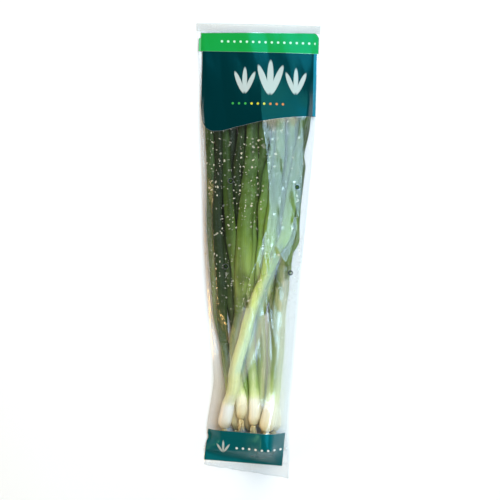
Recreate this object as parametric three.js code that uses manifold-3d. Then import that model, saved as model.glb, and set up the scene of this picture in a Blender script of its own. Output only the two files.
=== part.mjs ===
// Bunch of spring onions packed in a clear tapered film sleeve, lying on the sleeve's back panel.
// Millimetres, +Z up, +Y from the roots to the sleeve's mouth. The origin is under the sleeve's middle.
import * as THREE from 'three';
import { mergeVertices } from 'three/addons/utils/BufferGeometryUtils.js';
import Module from 'manifold-3d';

const wasm = await Module();
wasm.setup();

// Sleeve: a bag of film welded down both sides and across the foot, open at the mouth.
const MOUTH_Y = 240;
const WELD_Y = -228; // line of the foot weld, where the two panels meet
const FOOT_Y = -240; // lowest corner of the foot, on the right
const FOOT_SLANT = 12; // how much higher the left corner of the foot lies
const FILM = 0.7;
const SIDE_WELD = 2.4; // width of the welded strip down each side
const MOUTH_PARTING = 6; // how far the two panels stand apart in the middle of the mouth
const WELD_PARTING = 0.4; // the same at the last of the inside, just above the foot weld
const SIDE_LIFT = 4.2; // height of the side welds above the surface along the filled length
const END_LIFT = 1.4; // the same at the mouth and the foot, where the sleeve lies flat
const FLAT_SHARE = 0.5; // share of the back panel's half width that lies flat on the surface
const COLUMNS = 16;
const ROWS = 32;
const VENT_RADIUS = 2.3;
const VENTS = [[-25, 73], [45, 68], [-28, -17], [40, -22]];

// Edges of the filled sleeve seen from above, as [y, x]: it draws in round the shafts and flares at the foot.
const LEFT_EDGE = [
  [-240, -43], [-226, -46], [-209, -47], [-198, -42], [-189, -44], [-160, -40.5], [-136, -38],
  [-74, -44], [-10, -50.5], [53, -54.5], [121, -58.5], [200, -63], [240, -66],
];
const RIGHT_EDGE = [
  [-240, 43], [-216, 44.5], [-188, 43], [-158, 44], [-134, 45.5],
  [-72, 49], [-10, 52.5], [55, 57.5], [124, 62.5], [200, 65], [240, 66],
];

// Onions. A path is a list of [y, x] that the shaft or leaf is pulled towards before the bunch settles.
// layer is how high in the bunch the onion lies, and girth is the radius of its shaft.
const ONIONS = [
  {
    girth: 6.4, layer: 3.4, shaft: [[-188, -22], [-158, -21], [-121, -16], [-84, -7], [-52, 3], [-24, 14]],
    leaves: [
      { tip: 205, width: 13, path: [[12, 20], [75, 24], [139, 26], [202, 28]] },
      { tip: 190, width: 12, path: [[4, 33], [39, 45], [87, 51], [139, 51], [187, 48]] },
      { tip: 214, width: 11, path: [[-4, 24], [49, 36], [107, 38], [165, 37], [213, 34]] },
    ],
  },
  {
    girth: 7.6, layer: 2.7, shaft: [[-189, 32], [-156, 32], [-104, 28], [-62, 28], [-35, 32], [-14, 37]],
    leaves: [
      { tip: 196, width: 9, path: [[18, 48], [66, 54], [129, 56], [192, 55]] },
      { tip: 206, width: 13, path: [[13, 43], [65, 48], [129, 48], [203, 44]] },
      { tip: 182, width: 12, path: [[12, 35], [76, 34], [139, 30], [181, 26]] },
    ],
  },
  {
    girth: 5.4, layer: 2.3, shaft: [[-177, -5], [-157, -9], [-126, -13], [-94, -14], [-66, -13]],
    leaves: [
      { tip: 204, width: 17, path: [[-31, -12], [11, -11], [54, -8], [96, -5], [138, -2], [201, 0]] },
      { tip: 192, width: 11, path: [[-20, -16], [11, -22], [74, -29], [137, -32], [190, -34]] },
      { tip: 178, width: 10, path: [[0, -14], [70, -18], [140, -14], [178, -12]] },
    ],
  },
  {
    girth: 5.6, layer: 1.6, shaft: [[-183, 9], [-157, 5], [-136, 2], [-104, -1], [-78, -1]],
    leaves: [
      { tip: 188, width: 11, path: [[-41, -1], [-9, 0], [33, 2], [75, 4], [128, 7], [186, 8]] },
      { tip: 198, width: 10, path: [[-20, 4], [60, 10], [140, 14], [195, 16]] },
      { tip: 210, width: 12, path: [[-30, -4], [60, -9], [150, -14], [206, -16]] },
    ],
  },
  {
    girth: 5.2, layer: 2, shaft: [[-187, 19], [-157, 16], [-125, 12], [-94, 9], [-70, 8]],
    leaves: [
      { tip: 194, width: 12, path: [[-20, 12], [12, 13], [44, 13], [86, 16], [133, 20], [192, 23]] },
      { tip: 190, width: 9, path: [[22, 9], [107, 9], [190, 9]] },
      { tip: 208, width: 11, path: [[0, 17], [80, 24], [150, 28], [205, 30]] },
    ],
  },
  {
    girth: 5.6, layer: 0, shaft: [[-189, -14], [-158, -18], [-126, -23], [-98, -28]],
    leaves: [
      { tip: 182, width: 11, path: [[-53, -34], [0, -39], [74, -40], [127, -40], [180, -41]] },
      { tip: 176, width: 10, path: [[-42, -42], [10, -47], [74, -49], [126, -49], [175, -50]] },
      { tip: 196, width: 13, path: [[-53, -32], [11, -36], [74, -40], [127, -44], [190, -46]] },
    ],
  },
  {
    girth: 6, layer: 0.6, shaft: [[-191, 3], [-158, -3], [-120, -10], [-88, -15]],
    leaves: [
      { tip: 200, width: 13, path: [[-30, -21], [50, -24], [130, -26], [196, -28]] },
      { tip: 186, width: 12, path: [[-30, -18], [50, -16], [130, -8], [186, -4]] },
      { tip: 160, width: 10, path: [[-20, -25], [60, -33], [140, -38], [160, -39]] },
    ],
  },
  {
    girth: 5.8, layer: 0.3, shaft: [[-190, 22], [-150, 24], [-110, 24], [-74, 24]],
    leaves: [
      { tip: 184, width: 11, path: [[-10, 30], [60, 41], [130, 47], [180, 49]] },
      { tip: 202, width: 12, path: [[-10, 26], [60, 22], [140, 12], [200, 8]] },
      { tip: 208, width: 12, path: [[-10, 28], [60, 34], [140, 37], [206, 38]] },
    ],
  },
];
const BULB_SWELL = 1.13; // the foot of a shaft is a little wider than its middle
const FOOT_ROUNDING = 9; // length over which a shaft rounds in to its root plate
const LEAF_FLATNESS = 0.42; // a packed leaf's thickness as a share of its width
const LEAF_ROUND_OFF = 60; // length over which a leaf goes from the round neck to its packed section
const TIP_LENGTH = 55;
const SPLIT_GAP = 0.4; // gap between the solids of a shaft and of the leaves and roots that continue it
const ROOTS = 10;
const ROOT_LENGTH = 13;
const ROOT_RADIUS = 0.6;

// How the bunch is settled: sections at even stations along Y are pushed apart until none overlap.
const STATION = 10;
const FIRST_STATION = -210;
const STATIONS = 43;
const PULLS = 500;
const SEPARATIONS = 400;
const CLEARANCE = 1.5; // between neighbours
const FILM_CLEARANCE = 0.7; // between an onion and the film
const SIDE_CLEARANCE = 1.5; // between an onion's side and the side weld
const SIDE_SLOPE = 0.45; // how much further in an onion lies for each millimetre above the side weld
const LAYER_RISE = 9;
const LEAF_RISE = 2.5; // between the leaves of one onion before the bunch settles
const UNDERSIDE = [-0.9, -0.5, 0, 0.5, 0.9]; // places across a section where it is kept off the back panel
const GRAVITY = 0.12;
const LANE_PULL = 0.06;
const STIFFNESS = 0.3;

const SHAFT_SIDES = 10;
const LEAF_SIDES = 8;
const LEAF_RING_STEP = 22;
const SHAFT_RING_STEP = 15;

const clamp = THREE.MathUtils.clamp;
const smoothstep = THREE.MathUtils.smoothstep;

// A smooth function of y through the [y, x] rows of a table.
function through(rows) {
  const slope = rows.map((row, i) => {
    const before = rows[Math.max(i - 1, 0)];
    const after = rows[Math.min(i + 1, rows.length - 1)];
    return (after[1] - before[1]) / (after[0] - before[0]);
  });
  return (y) => {
    if (y <= rows[0][0]) return rows[0][1] + slope[0] * (y - rows[0][0]);
    const last = rows.length - 1;
    if (y >= rows[last][0]) return rows[last][1] + slope[last] * (y - rows[last][0]);
    const i = rows.findIndex((row) => row[0] > y) - 1;
    const span = rows[i + 1][0] - rows[i][0];
    const t = (y - rows[i][0]) / span;
    const t2 = t * t;
    const t3 = t2 * t;
    return (2 * t3 - 3 * t2 + 1) * rows[i][1] + (t3 - 2 * t2 + t) * span * slope[i]
      + (3 * t2 - 2 * t3) * rows[i + 1][1] + (t3 - t2) * span * slope[i + 1];
  };
}

const leftEdge = through(LEFT_EDGE);
const rightEdge = through(RIGHT_EDGE);
const stationY = (j) => FIRST_STATION + j * STATION;

// Height of the side welds, and of the inside of the back panel, which curls up towards them.
const seamHeight = (y) => THREE.MathUtils.lerp(END_LIFT, SIDE_LIFT,
  smoothstep(y, WELD_Y, WELD_Y + 50) * (1 - smoothstep(y, MOUTH_Y - 60, MOUTH_Y)));
function backHeight(x, y) {
  const middle = (leftEdge(y) + rightEdge(y)) / 2;
  const share = Math.abs(x - middle) / ((rightEdge(y) - leftEdge(y)) / 2);
  const curl = clamp((share - FLAT_SHARE) / (1 - FLAT_SHARE), 0, 1);
  return FILM + (seamHeight(y) - FILM) * curl * curl;
}

// A strand is a shaft, or one leaf from its neck to its tip. It holds a section centre at each station.
function makeStrand(onion, path, startY, endY, section, rise = 0) {
  const first = Math.ceil((startY - FIRST_STATION) / STATION);
  const last = Math.min(Math.floor((endY - FIRST_STATION) / STATION), STATIONS - 1);
  const lane = through(path);
  const z = 6 + onion.layer * LAYER_RISE + rise;
  const nodes = [];
  for (let j = first; j <= last; j++) {
    const y = stationY(j);
    nodes.push({ j, y, z, lane: lane(y), x: lane(y), ...section(y) });
  }
  return { onion, startY, endY, section, nodes };
}

function shaftSection(onion) {
  const baseY = onion.shaft[0][0];
  return (y) => {
    const swell = 1 + (BULB_SWELL - 1) * Math.exp(-(((y - baseY - 12) / 16) ** 2));
    return { halfWidth: onion.girth * swell, halfHeight: onion.girth * swell * 0.96 };
  };
}

function leafSection(onion, leaf, neckY) {
  return (y) => {
    const blade = smoothstep(y, neckY - 10, neckY + LEAF_ROUND_OFF);
    const taper = 1 - 0.3 * smoothstep(y, neckY + LEAF_ROUND_OFF, leaf.tip - TIP_LENGTH);
    const point = Math.sqrt(clamp((leaf.tip - y) / TIP_LENGTH, 0, 1));
    const width = THREE.MathUtils.lerp(onion.girth * 0.86, leaf.width / 2, blade) * taper * point;
    const height = THREE.MathUtils.lerp(onion.girth * 0.8, leaf.width / 2 * LEAF_FLATNESS, blade);
    return { halfWidth: Math.max(width, 0.4), halfHeight: Math.max(height * point, 0.35) };
  };
}

function makeStrands() {
  return ONIONS.map((onion) => {
    const baseY = onion.shaft[0][0];
    const neckY = onion.shaft[onion.shaft.length - 1][0];
    const shaft = makeStrand(onion, onion.shaft, baseY - ROOT_LENGTH - 3, neckY, shaftSection(onion));
    const neck = onion.shaft[onion.shaft.length - 1];
    const leaves = onion.leaves.map((leaf, i) => {
      const path = [neck, ...leaf.path];
      const rise = (onion.leaves.length - 1 - i) * LEAF_RISE;
      return makeStrand(onion, path, neckY + 0.01, leaf.tip, leafSection(onion, leaf, neckY), rise);
    });
    return { onion, baseY, neckY, shaft, leaves };
  });
}

// Each section moves towards its lane, down, and towards the line between its neighbours along the strand.
function pull(plants) {
  for (const { shaft, leaves } of plants) {
    const top = shaft.nodes[shaft.nodes.length - 1];
    const starts = leaves.map((leaf) => leaf.nodes[0]);
    const mean = (key) => starts.reduce((sum, node) => sum + node[key], 0) / starts.length;
    const fork = { x: mean('x'), z: mean('z') };
    for (const strand of [shaft, ...leaves]) {
      strand.nodes.forEach((node, i) => {
        const before = strand.nodes[i - 1] ?? (strand === shaft ? null : top);
        const after = strand.nodes[i + 1] ?? (strand === shaft ? fork : null);
        node.pullX = (node.lane - node.x) * LANE_PULL;
        node.pullZ = -GRAVITY;
        if (before && after) {
          node.pullX += ((before.x + after.x) / 2 - node.x) * STIFFNESS;
          node.pullZ += ((before.z + after.z) / 2 - node.z) * STIFFNESS;
        }
      });
    }
  }
  for (const { shaft, leaves } of plants) {
    for (const node of [shaft, ...leaves].flatMap((strand) => strand.nodes)) {
      node.x += node.pullX;
      node.z += node.pullZ;
    }
  }
}

// Leaves of one onion grow out of one neck, so they may share space there.
function apartness(a, b) {
  if (a.onion !== b.onion) return 1;
  const neckY = a.onion.shaft[a.onion.shaft.length - 1][0];
  return smoothstep(a.y, neckY, neckY + LEAF_ROUND_OFF);
}

// Two sections that overlap move apart across the shorter way, and every section stays in the sleeve.
function separate(sections) {
  for (const level of sections) {
    for (const node of level) node.moveX = node.moveZ = 0;
    for (let i = 0; i < level.length; i++) {
      for (let k = i + 1; k < level.length; k++) {
        const a = level[i];
        const b = level[k];
        const share = apartness(a, b);
        if (share === 0) continue;
        const reachX = (a.halfWidth + b.halfWidth + CLEARANCE) * share;
        const reachZ = (a.halfHeight + b.halfHeight + CLEARANCE) * share;
        const dx = b.x - a.x;
        const dz = b.z - a.z + (Math.abs(b.z - a.z) < 0.01 ? 0.01 * (k - i) : 0);
        const near = Math.hypot(dx / reachX, dz / reachZ);
        if (near >= 1) continue;
        const slopeX = dx / (reachX * reachX);
        const slopeZ = dz / (reachZ * reachZ);
        const steep = slopeX * slopeX + slopeZ * slopeZ;
        const depth = Math.min((1 - near) * near / steep, reachZ / Math.sqrt(steep)) * 0.45;
        a.moveX -= slopeX * depth;
        b.moveX += slopeX * depth;
        a.moveZ -= slopeZ * depth;
        b.moveZ += slopeZ * depth;
      }
    }
    for (const node of level) {
      const rise = Math.max(node.z - seamHeight(node.y), 0) * SIDE_SLOPE;
      const margin = node.halfWidth + SIDE_WELD + SIDE_CLEARANCE + rise;
      node.x = clamp(node.x + node.moveX, leftEdge(node.y) + margin, rightEdge(node.y) - margin);
      const floors = UNDERSIDE.map((t) => backHeight(node.x + t * node.halfWidth, node.y)
        + node.halfHeight * Math.sqrt(1 - t * t));
      node.z = Math.max(node.z + node.moveZ, Math.max(...floors) + FILM_CLEARANCE);
    }
  }
}

function settle(plants) {
  const sections = Array.from({ length: STATIONS }, () => []);
  for (const { shaft, leaves } of plants) {
    for (const strand of [shaft, ...leaves]) {
      for (const node of strand.nodes) sections[node.j].push(Object.assign(node, { onion: strand.onion }));
    }
  }
  for (let n = 0; n < PULLS; n++) {
    pull(plants);
    separate(sections);
  }
  for (let n = 0; n < SEPARATIONS; n++) separate(sections);
}

// The settled centre line of a strand. A leaf's line starts on its shaft's last sections.
function centreLine(strand, shaft) {
  const rows = strand === shaft ? strand.nodes : [...shaft.nodes.slice(-2), ...strand.nodes];
  const x = through(rows.map((node) => [node.y, node.x]));
  const z = through(rows.map((node) => [node.y, node.z]));
  const [firstY, lastY] = [rows[0].y, rows[rows.length - 1].y];
  return (y) => new THREE.Vector3(x(y), y, z(clamp(y, firstY, lastY)));
}

// A closed solid of round sections across Y: a lathe whose sections are scaled and moved onto a line.
// A height given twice is a flat end.
function lathedAlong(heights, sides, section, line) {
  const last = heights.length - 1;
  const profile = heights.map((y, i) => new THREE.Vector2(i === 0 || i === last ? 0 : 1, y));
  const geometry = new THREE.LatheGeometry(profile, sides);
  const position = geometry.attributes.position;
  for (let i = 0; i < position.count; i++) {
    const y = position.getY(i);
    const { halfWidth, halfHeight } = section(y);
    const centre = line(y);
    const x = centre.x + position.getX(i) * halfWidth;
    position.setXYZ(i, x, y, centre.z + position.getZ(i) * halfHeight);
  }
  return geometry;
}

// A geometry as a solid that can be joined and cut.
function solidOf(geometry) {
  const bare = new THREE.BufferGeometry();
  bare.setAttribute('position', geometry.attributes.position.clone());
  if (geometry.index) bare.setIndex(geometry.index.clone());
  const merged = mergeVertices(bare, 1e-3);
  const index = merged.index.array;
  const kept = [];
  for (let i = 0; i < index.length; i += 3) {
    const [a, b, c] = [index[i], index[i + 1], index[i + 2]];
    if (a !== b && b !== c && a !== c) kept.push(a, b, c);
  }
  const solid = new wasm.Manifold(new wasm.Mesh({
    numProp: 3,
    vertProperties: merged.attributes.position.array,
    triVerts: new Uint32Array(kept),
  }));
  if (solid.volume() < 0) throw new Error('a solid is inside out');
  return solid;
}

function geometryOf(solid) {
  const mesh = solid.getMesh();
  const geometry = new THREE.BufferGeometry();
  geometry.setAttribute('position', new THREE.BufferAttribute(mesh.vertProperties, 3));
  geometry.setIndex(new THREE.BufferAttribute(mesh.triVerts, 1));
  geometry.computeVertexNormals();
  return geometry;
}

function heightsBetween(startY, endY, step) {
  const count = Math.max(2, Math.round((endY - startY) / step));
  return Array.from({ length: count + 1 }, (_, i) => startY + (endY - startY) * i / count);
}

// The white shaft: leaf bases wrapped into one stalk, from the root plate to the neck.
function shaftGeometry(plant) {
  const { shaft, baseY, neckY } = plant;
  const foot = (y) => Math.sqrt(clamp((y - baseY + 2.5) / FOOT_ROUNDING, 0, 1));
  const section = (y) => {
    const { halfWidth, halfHeight } = shaft.section(y);
    return { halfWidth: halfWidth * foot(y), halfHeight: halfHeight * foot(y) };
  };
  const start = baseY + SPLIT_GAP;
  const rings = [start, start, baseY + 4, baseY + 10];
  const heights = [...rings, ...heightsBetween(baseY + 20, neckY, SHAFT_RING_STEP), neckY];
  return lathedAlong(heights, SHAFT_SIDES, section, shaft.line);
}

// The leaves of one onion, which share the neck and fan out of it.
function leavesGeometry(plant) {
  const { leaves, neckY } = plant;
  const start = neckY + SPLIT_GAP;
  const solids = leaves.map((strand) => {
    const body = heightsBetween(start + 6, strand.endY - 6, LEAF_RING_STEP);
    const heights = [start, start, ...body, strand.endY];
    return solidOf(lathedAlong(heights, LEAF_SIDES, strand.section, strand.line));
  });
  return geometryOf(solids.reduce((whole, leaf) => whole.add(leaf)));
}

// The root plate and its tuft of cut roots.
function rootsGeometry(plant, seed) {
  const { shaft, baseY, onion } = plant;
  const centre = shaft.line(baseY);
  const plateRadius = onion.girth * 0.5;
  const plate = new THREE.SphereGeometry(plateRadius, 8, 6);
  plate.scale(1, 0.5, 1);
  plate.translate(centre.x, baseY - plateRadius * 0.5 - SPLIT_GAP / 2, centre.z);
  let tuft = solidOf(plate);
  for (let i = 0; i < ROOTS; i++) {
    const turn = i * 2.399963 + seed;
    const spread = Math.sqrt((i + 0.5) / ROOTS);
    const reach = ROOT_LENGTH * (0.75 + 0.25 * Math.sin(i * 1.7 + seed));
    const startY = baseY - plateRadius * 0.55;
    const endY = startY - reach;
    const line = (y) => {
      const t = (startY - y) / reach;
      const out = plateRadius * spread * (0.55 + 0.85 * t) + 0.5 * Math.sin(t * 5 + i);
      const sway = turn + 0.5 * t * Math.sin(i + seed);
      const z = Math.max(centre.z + out * Math.sin(sway) - t * 1.2, FILM + FILM_CLEARANCE + ROOT_RADIUS);
      return new THREE.Vector3(centre.x + out * Math.cos(sway), y, z);
    };
    const section = (y) => {
      const radius = ROOT_RADIUS * (1 - 0.4 * clamp((startY - y) / reach, 0, 1));
      return { halfWidth: radius, halfHeight: radius };
    };
    const heights = [endY, endY, endY + reach * 0.5, startY, startY];
    tuft = tuft.add(solidOf(lathedAlong(heights, 4, section, line)));
  }
  return geometryOf(tuft);
}

// Top of the onions at a point of the sleeve, with each strand widened by half a cell of the film's grid.
function contentsHeight(plants, x, y, cellX, cellY) {
  let height = 0;
  for (const { shaft, leaves } of plants) {
    for (const strand of [shaft, ...leaves]) {
      if (y < strand.startY - cellY || y > strand.endY + cellY) continue;
      for (const nearY of [y - cellY, y, y + cellY]) {
        const at = clamp(nearY, strand.startY, strand.endY - 4);
        const { halfWidth, halfHeight } = strand.section(at);
        const centre = strand.line(at);
        const off = Math.max(Math.abs(x - centre.x) - cellX, 0) / halfWidth;
        if (off < 1) height = Math.max(height, centre.z + halfHeight * Math.sqrt(1 - off * off));
      }
    }
  }
  return height;
}

// Heights of the front panel's inside: film drawn taut over the onions, as a membrane over obstacles.
function frontHeights(plants, rowY, columnX) {
  const rows = rowY.length;
  const cellY = (rowY[0] - rowY[1]) * 0.6;
  const bulge = (i) => 1 - (2 * i / COLUMNS - 1) ** 2;
  const least = rowY.map((y, r) => columnX[r].map((x, i) => {
    const back = backHeight(x, y);
    if (i === 0 || i === COLUMNS) return back;
    if (r === 0) return back + MOUTH_PARTING * bulge(i);
    if (r === rows - 1) return back + WELD_PARTING * bulge(i);
    const cellX = Math.max(x - columnX[r][i - 1], columnX[r][i + 1] - x) * 0.75;
    return Math.max(back + bulge(i), contentsHeight(plants, x, y, cellX, cellY) + FILM_CLEARANCE);
  }));
  const height = least.map((row) => [...row]);
  for (let n = 0; n < 400; n++) {
    for (let r = 1; r < rows - 1; r++) {
      for (let i = 1; i < COLUMNS; i++) {
        const mean = (height[r][i - 1] + height[r][i + 1]) * 0.4 + (height[r - 1][i] + height[r + 1][i]) * 0.1;
        height[r][i] = Math.max(least[r][i], mean);
      }
    }
  }
  return height;
}

// The sleeve as one closed solid: an outside skin, an inside skin, and the rim of the mouth between them.
function sleeveSkins(plants) {
  const rowY = heightsBetween(WELD_Y, MOUTH_Y, (MOUTH_Y - WELD_Y) / ROWS).reverse();
  const columnX = rowY.map((y) => Array.from({ length: COLUMNS + 1 }, (_, i) => {
    const left = leftEdge(y) + SIDE_WELD;
    const right = rightEdge(y) - SIDE_WELD;
    const even = i / COLUMNS;
    const share = (even + (1 - Math.cos(Math.PI * even)) / 2) / 2; // closer together towards the side welds
    return left + (right - left) * share;
  }));
  const front = frontHeights(plants, rowY, columnX);
  const last = rowY.length - 1;
  const points = [];
  const faces = [];
  const add = (x, y, z) => points.push(x, y, z) / 3 - 1;
  const quad = (a, b, c, d) => faces.push(a, b, c, a, c, d);
  const slant = (x, y) => y + FOOT_SLANT * smoothstep(-y, -WELD_Y - 20, -WELD_Y)
    * clamp((rightEdge(y) - x) / (rightEdge(y) - leftEdge(y)), 0, 1);
  const weld = (i) => (i === 0 ? -SIDE_WELD : i === COLUMNS ? SIDE_WELD : 0);

  // A skin's loop runs across the front panel from left to right and back across the back panel.
  const inside = rowY.map((y, r) => {
    const over = columnX[r].map((x, i) => add(x, slant(x, y), front[r][i]));
    const under = columnX[r].slice(1, -1).map((x) => add(x, slant(x, y), backHeight(x, y)));
    return [...over, ...under.reverse()];
  });
  const outside = rowY.map((y, r) => {
    const over = columnX[r].map((x, i) => (weld(i)
      ? add(x + weld(i), slant(x, y), seamHeight(y) + FILM / 2)
      : add(x, slant(x, y), front[r][i] + FILM)));
    const under = columnX[r].map((x, i) => (weld(i)
      ? add(x + weld(i), slant(x, y), seamHeight(y) - FILM / 2)
      : add(x, slant(x, y), backHeight(x, y) - FILM)));
    return [...over, ...under.reverse()];
  });
  const footY = (x) => slant(x, WELD_Y) + FOOT_Y - WELD_Y;
  const footTop = columnX[last].map((x, i) => add(x + weld(i), footY(x), 2 * FILM));
  const footUnder = columnX[last].map((x, i) => add(x + weld(i), footY(x), 0));
  outside.push([...footTop, ...footUnder.reverse()]);

  const tube = (loops) => loops.slice(1).forEach((b, r) => {
    const a = loops[r];
    a.forEach((_, i) => quad(a[i], b[i], b[(i + 1) % b.length], a[(i + 1) % a.length]));
  });
  tube(outside);
  tube(inside.map((loop) => [...loop].reverse()));

  const outBack = (i) => 2 * COLUMNS + 1 - i;
  const inBack = (i) => (2 * COLUMNS - i) % (2 * COLUMNS);
  const [rimOut, rimIn, weldIn, foot] = [outside[0], inside[0], inside[last], outside[last + 1]];
  for (let i = 0; i < COLUMNS; i++) {
    quad(rimOut[i], rimOut[i + 1], rimIn[i + 1], rimIn[i]);
    quad(rimIn[inBack(i)], rimIn[inBack(i + 1)], rimOut[outBack(i + 1)], rimOut[outBack(i)]);
    quad(weldIn[i], weldIn[i + 1], weldIn[inBack(i + 1)], weldIn[inBack(i)]);
    quad(foot[outBack(i)], foot[outBack(i + 1)], foot[i + 1], foot[i]);
  }
  faces.push(rimOut[0], rimIn[0], rimOut[outBack(0)]);
  faces.push(rimIn[COLUMNS], rimOut[COLUMNS], rimOut[outBack(COLUMNS)]);

  const geometry = new THREE.BufferGeometry();
  geometry.setAttribute('position', new THREE.Float32BufferAttribute(points, 3));
  geometry.setIndex(faces);
  const filmAt = (x, y) => {
    const r = rowY.findIndex((row) => row <= y);
    const i = columnX[r].findIndex((column) => column >= x);
    return front[r][i];
  };
  return { geometry, filmAt };
}

// The sleeve with its punched vents, which go through the front panel only.
function sleeveGeometry(plants) {
  const { geometry, filmAt } = sleeveSkins(plants);
  const punched = VENTS.reduce((film, [x, y]) => {
    const punch = new THREE.CylinderGeometry(VENT_RADIUS, VENT_RADIUS, 7, 12);
    punch.rotateX(Math.PI / 2);
    punch.translate(x, y, filmAt(x, y) + FILM);
    return film.subtract(solidOf(punch));
  }, solidOf(geometry));
  return geometryOf(punched);
}

const FILM_CLEAR = new THREE.MeshStandardMaterial({
  color: '#dfe9ea', roughness: 0.18, metalness: 0, transparent: true, opacity: 0.35,
});
const SHAFT_WHITE = new THREE.MeshStandardMaterial({ color: '#e9eecb', roughness: 0.42, metalness: 0 });
const LEAF_GREEN = new THREE.MeshStandardMaterial({ color: '#4f7a2a', roughness: 0.5, metalness: 0 });
const ROOT_STRAW = new THREE.MeshStandardMaterial({ color: '#d6c79a', roughness: 0.8, metalness: 0 });

function named(name, geometry, material) {
  const mesh = new THREE.Mesh(geometry, material);
  mesh.name = name;
  return mesh;
}

const plants = makeStrands();
settle(plants);
for (const plant of plants) {
  for (const strand of [plant.shaft, ...plant.leaves]) strand.line = centreLine(strand, plant.shaft);
}

const bunch = new THREE.Group();
bunch.name = 'spring_onion_bunch';
plants.forEach((plant, i) => {
  const onion = new THREE.Group();
  const number = i + 1;
  onion.add(named(`onion_${number}_shaft`, shaftGeometry(plant), SHAFT_WHITE));
  onion.add(named(`onion_${number}_leaves`, leavesGeometry(plant), LEAF_GREEN));
  onion.add(named(`onion_${number}_roots`, rootsGeometry(plant, number), ROOT_STRAW));
  bunch.add(onion);
});
bunch.add(named('sleeve', sleeveGeometry(plants), FILM_CLEAR));

export default bunch;
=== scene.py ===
"""Spring onions packed in a clear tapered film sleeve, laid down and seen from straight above."""

import logging
import math
from collections.abc import Callable, Sequence
from dataclasses import dataclass
from enum import Enum
from functools import partial

import bpy
import numpy as np
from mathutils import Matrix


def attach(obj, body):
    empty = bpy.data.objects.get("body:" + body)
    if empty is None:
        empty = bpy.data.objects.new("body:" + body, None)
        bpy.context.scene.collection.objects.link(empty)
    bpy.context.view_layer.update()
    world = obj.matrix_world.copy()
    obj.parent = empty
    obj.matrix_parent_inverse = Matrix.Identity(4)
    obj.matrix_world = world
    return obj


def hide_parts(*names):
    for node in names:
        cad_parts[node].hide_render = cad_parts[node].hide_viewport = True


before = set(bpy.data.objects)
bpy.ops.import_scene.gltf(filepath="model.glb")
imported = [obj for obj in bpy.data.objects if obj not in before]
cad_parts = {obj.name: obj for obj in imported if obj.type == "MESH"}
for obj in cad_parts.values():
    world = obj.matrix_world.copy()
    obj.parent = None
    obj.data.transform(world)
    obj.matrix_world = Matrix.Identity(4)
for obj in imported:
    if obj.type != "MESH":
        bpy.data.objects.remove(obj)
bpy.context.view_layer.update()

LOG = logging.getLogger("spring_onions")
MM = 0.001
Array = np.ndarray
Piece = bpy.types.Object
Material = bpy.types.Material
Rows = tuple[tuple[float, float], ...]
Stops = tuple[tuple[float, str], ...]
Points = tuple[Array, Array, Array]
Placer = Callable[[Array, Array], Points]
SocketValue = bpy.types.NodeSocket | bpy.types.Node | float | str | tuple
AddNode = Callable[..., bpy.types.Node]


class Growth(Enum):
    """The colours that an onion passes through on its way up."""

    SHAFT = "shaft"
    LEAF = "leaf"
    ROOT = "root"


def smoothstep(value: Array | float, low: float, high: float) -> Array:
    """Eases from 0 at low to 1 at high."""
    t = np.clip((np.asarray(value, dtype=float) - low) / (high - low), 0, 1)
    return t * t * (3 - 2 * t)


def between(value: Array, rise: tuple[float, float], fall: tuple[float, float]) -> Array:
    """Eases from 0 to 1 over one span, and back to 0 over a later one."""
    return smoothstep(value, *rise) * (1 - smoothstep(value, *fall))


def linear(hex_colour: str, alpha: float = 1.0) -> tuple[float, float, float, float]:
    """Turns an sRGB hex colour to linear light.

    Args:
        hex_colour: the colour as #rrggbb.
        alpha: its opacity.

    Returns:
        The colour's linear red, green and blue, with its alpha.
    """
    parts = [int(hex_colour[i : i + 2], 16) / 255 for i in (1, 3, 5)]
    red, green, blue = (c / 12.92 if c <= 0.04045 else ((c + 0.055) / 1.055) ** 2.4 for c in parts)
    return red, green, blue, alpha


@dataclass(frozen=True)
class Curve:
    """A smooth function of y through a table's (y, value) rows, straight past both ends."""

    rows: Rows

    def __call__(self, y: Array | float) -> Array:
        """Gives the value at each y.

        Args:
            y: where the curve is read.

        Returns:
            The value at each y.
        """
        ys, values = np.array(self.rows, dtype=float).T
        index = np.arange(len(ys))
        before = np.maximum(index - 1, 0)
        after = np.minimum(index + 1, len(ys) - 1)
        slope = (values[after] - values[before]) / (ys[after] - ys[before])
        y = np.asarray(y, dtype=float)
        i = np.clip(np.searchsorted(ys, y, side="right") - 1, 0, len(ys) - 2)
        span = ys[i + 1] - ys[i]
        t = (y - ys[i]) / span
        inside = (
            (2 * t**3 - 3 * t**2 + 1) * values[i]
            + (t**3 - 2 * t**2 + t) * span * slope[i]
            + (3 * t**2 - 2 * t**3) * values[i + 1]
            + (t**3 - t**2) * span * slope[i + 1]
        )
        below = values[0] + slope[0] * (y - ys[0])
        above = values[-1] + slope[-1] * (y - ys[-1])
        return np.where(y <= ys[0], below, np.where(y >= ys[-1], above, inside))


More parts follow.
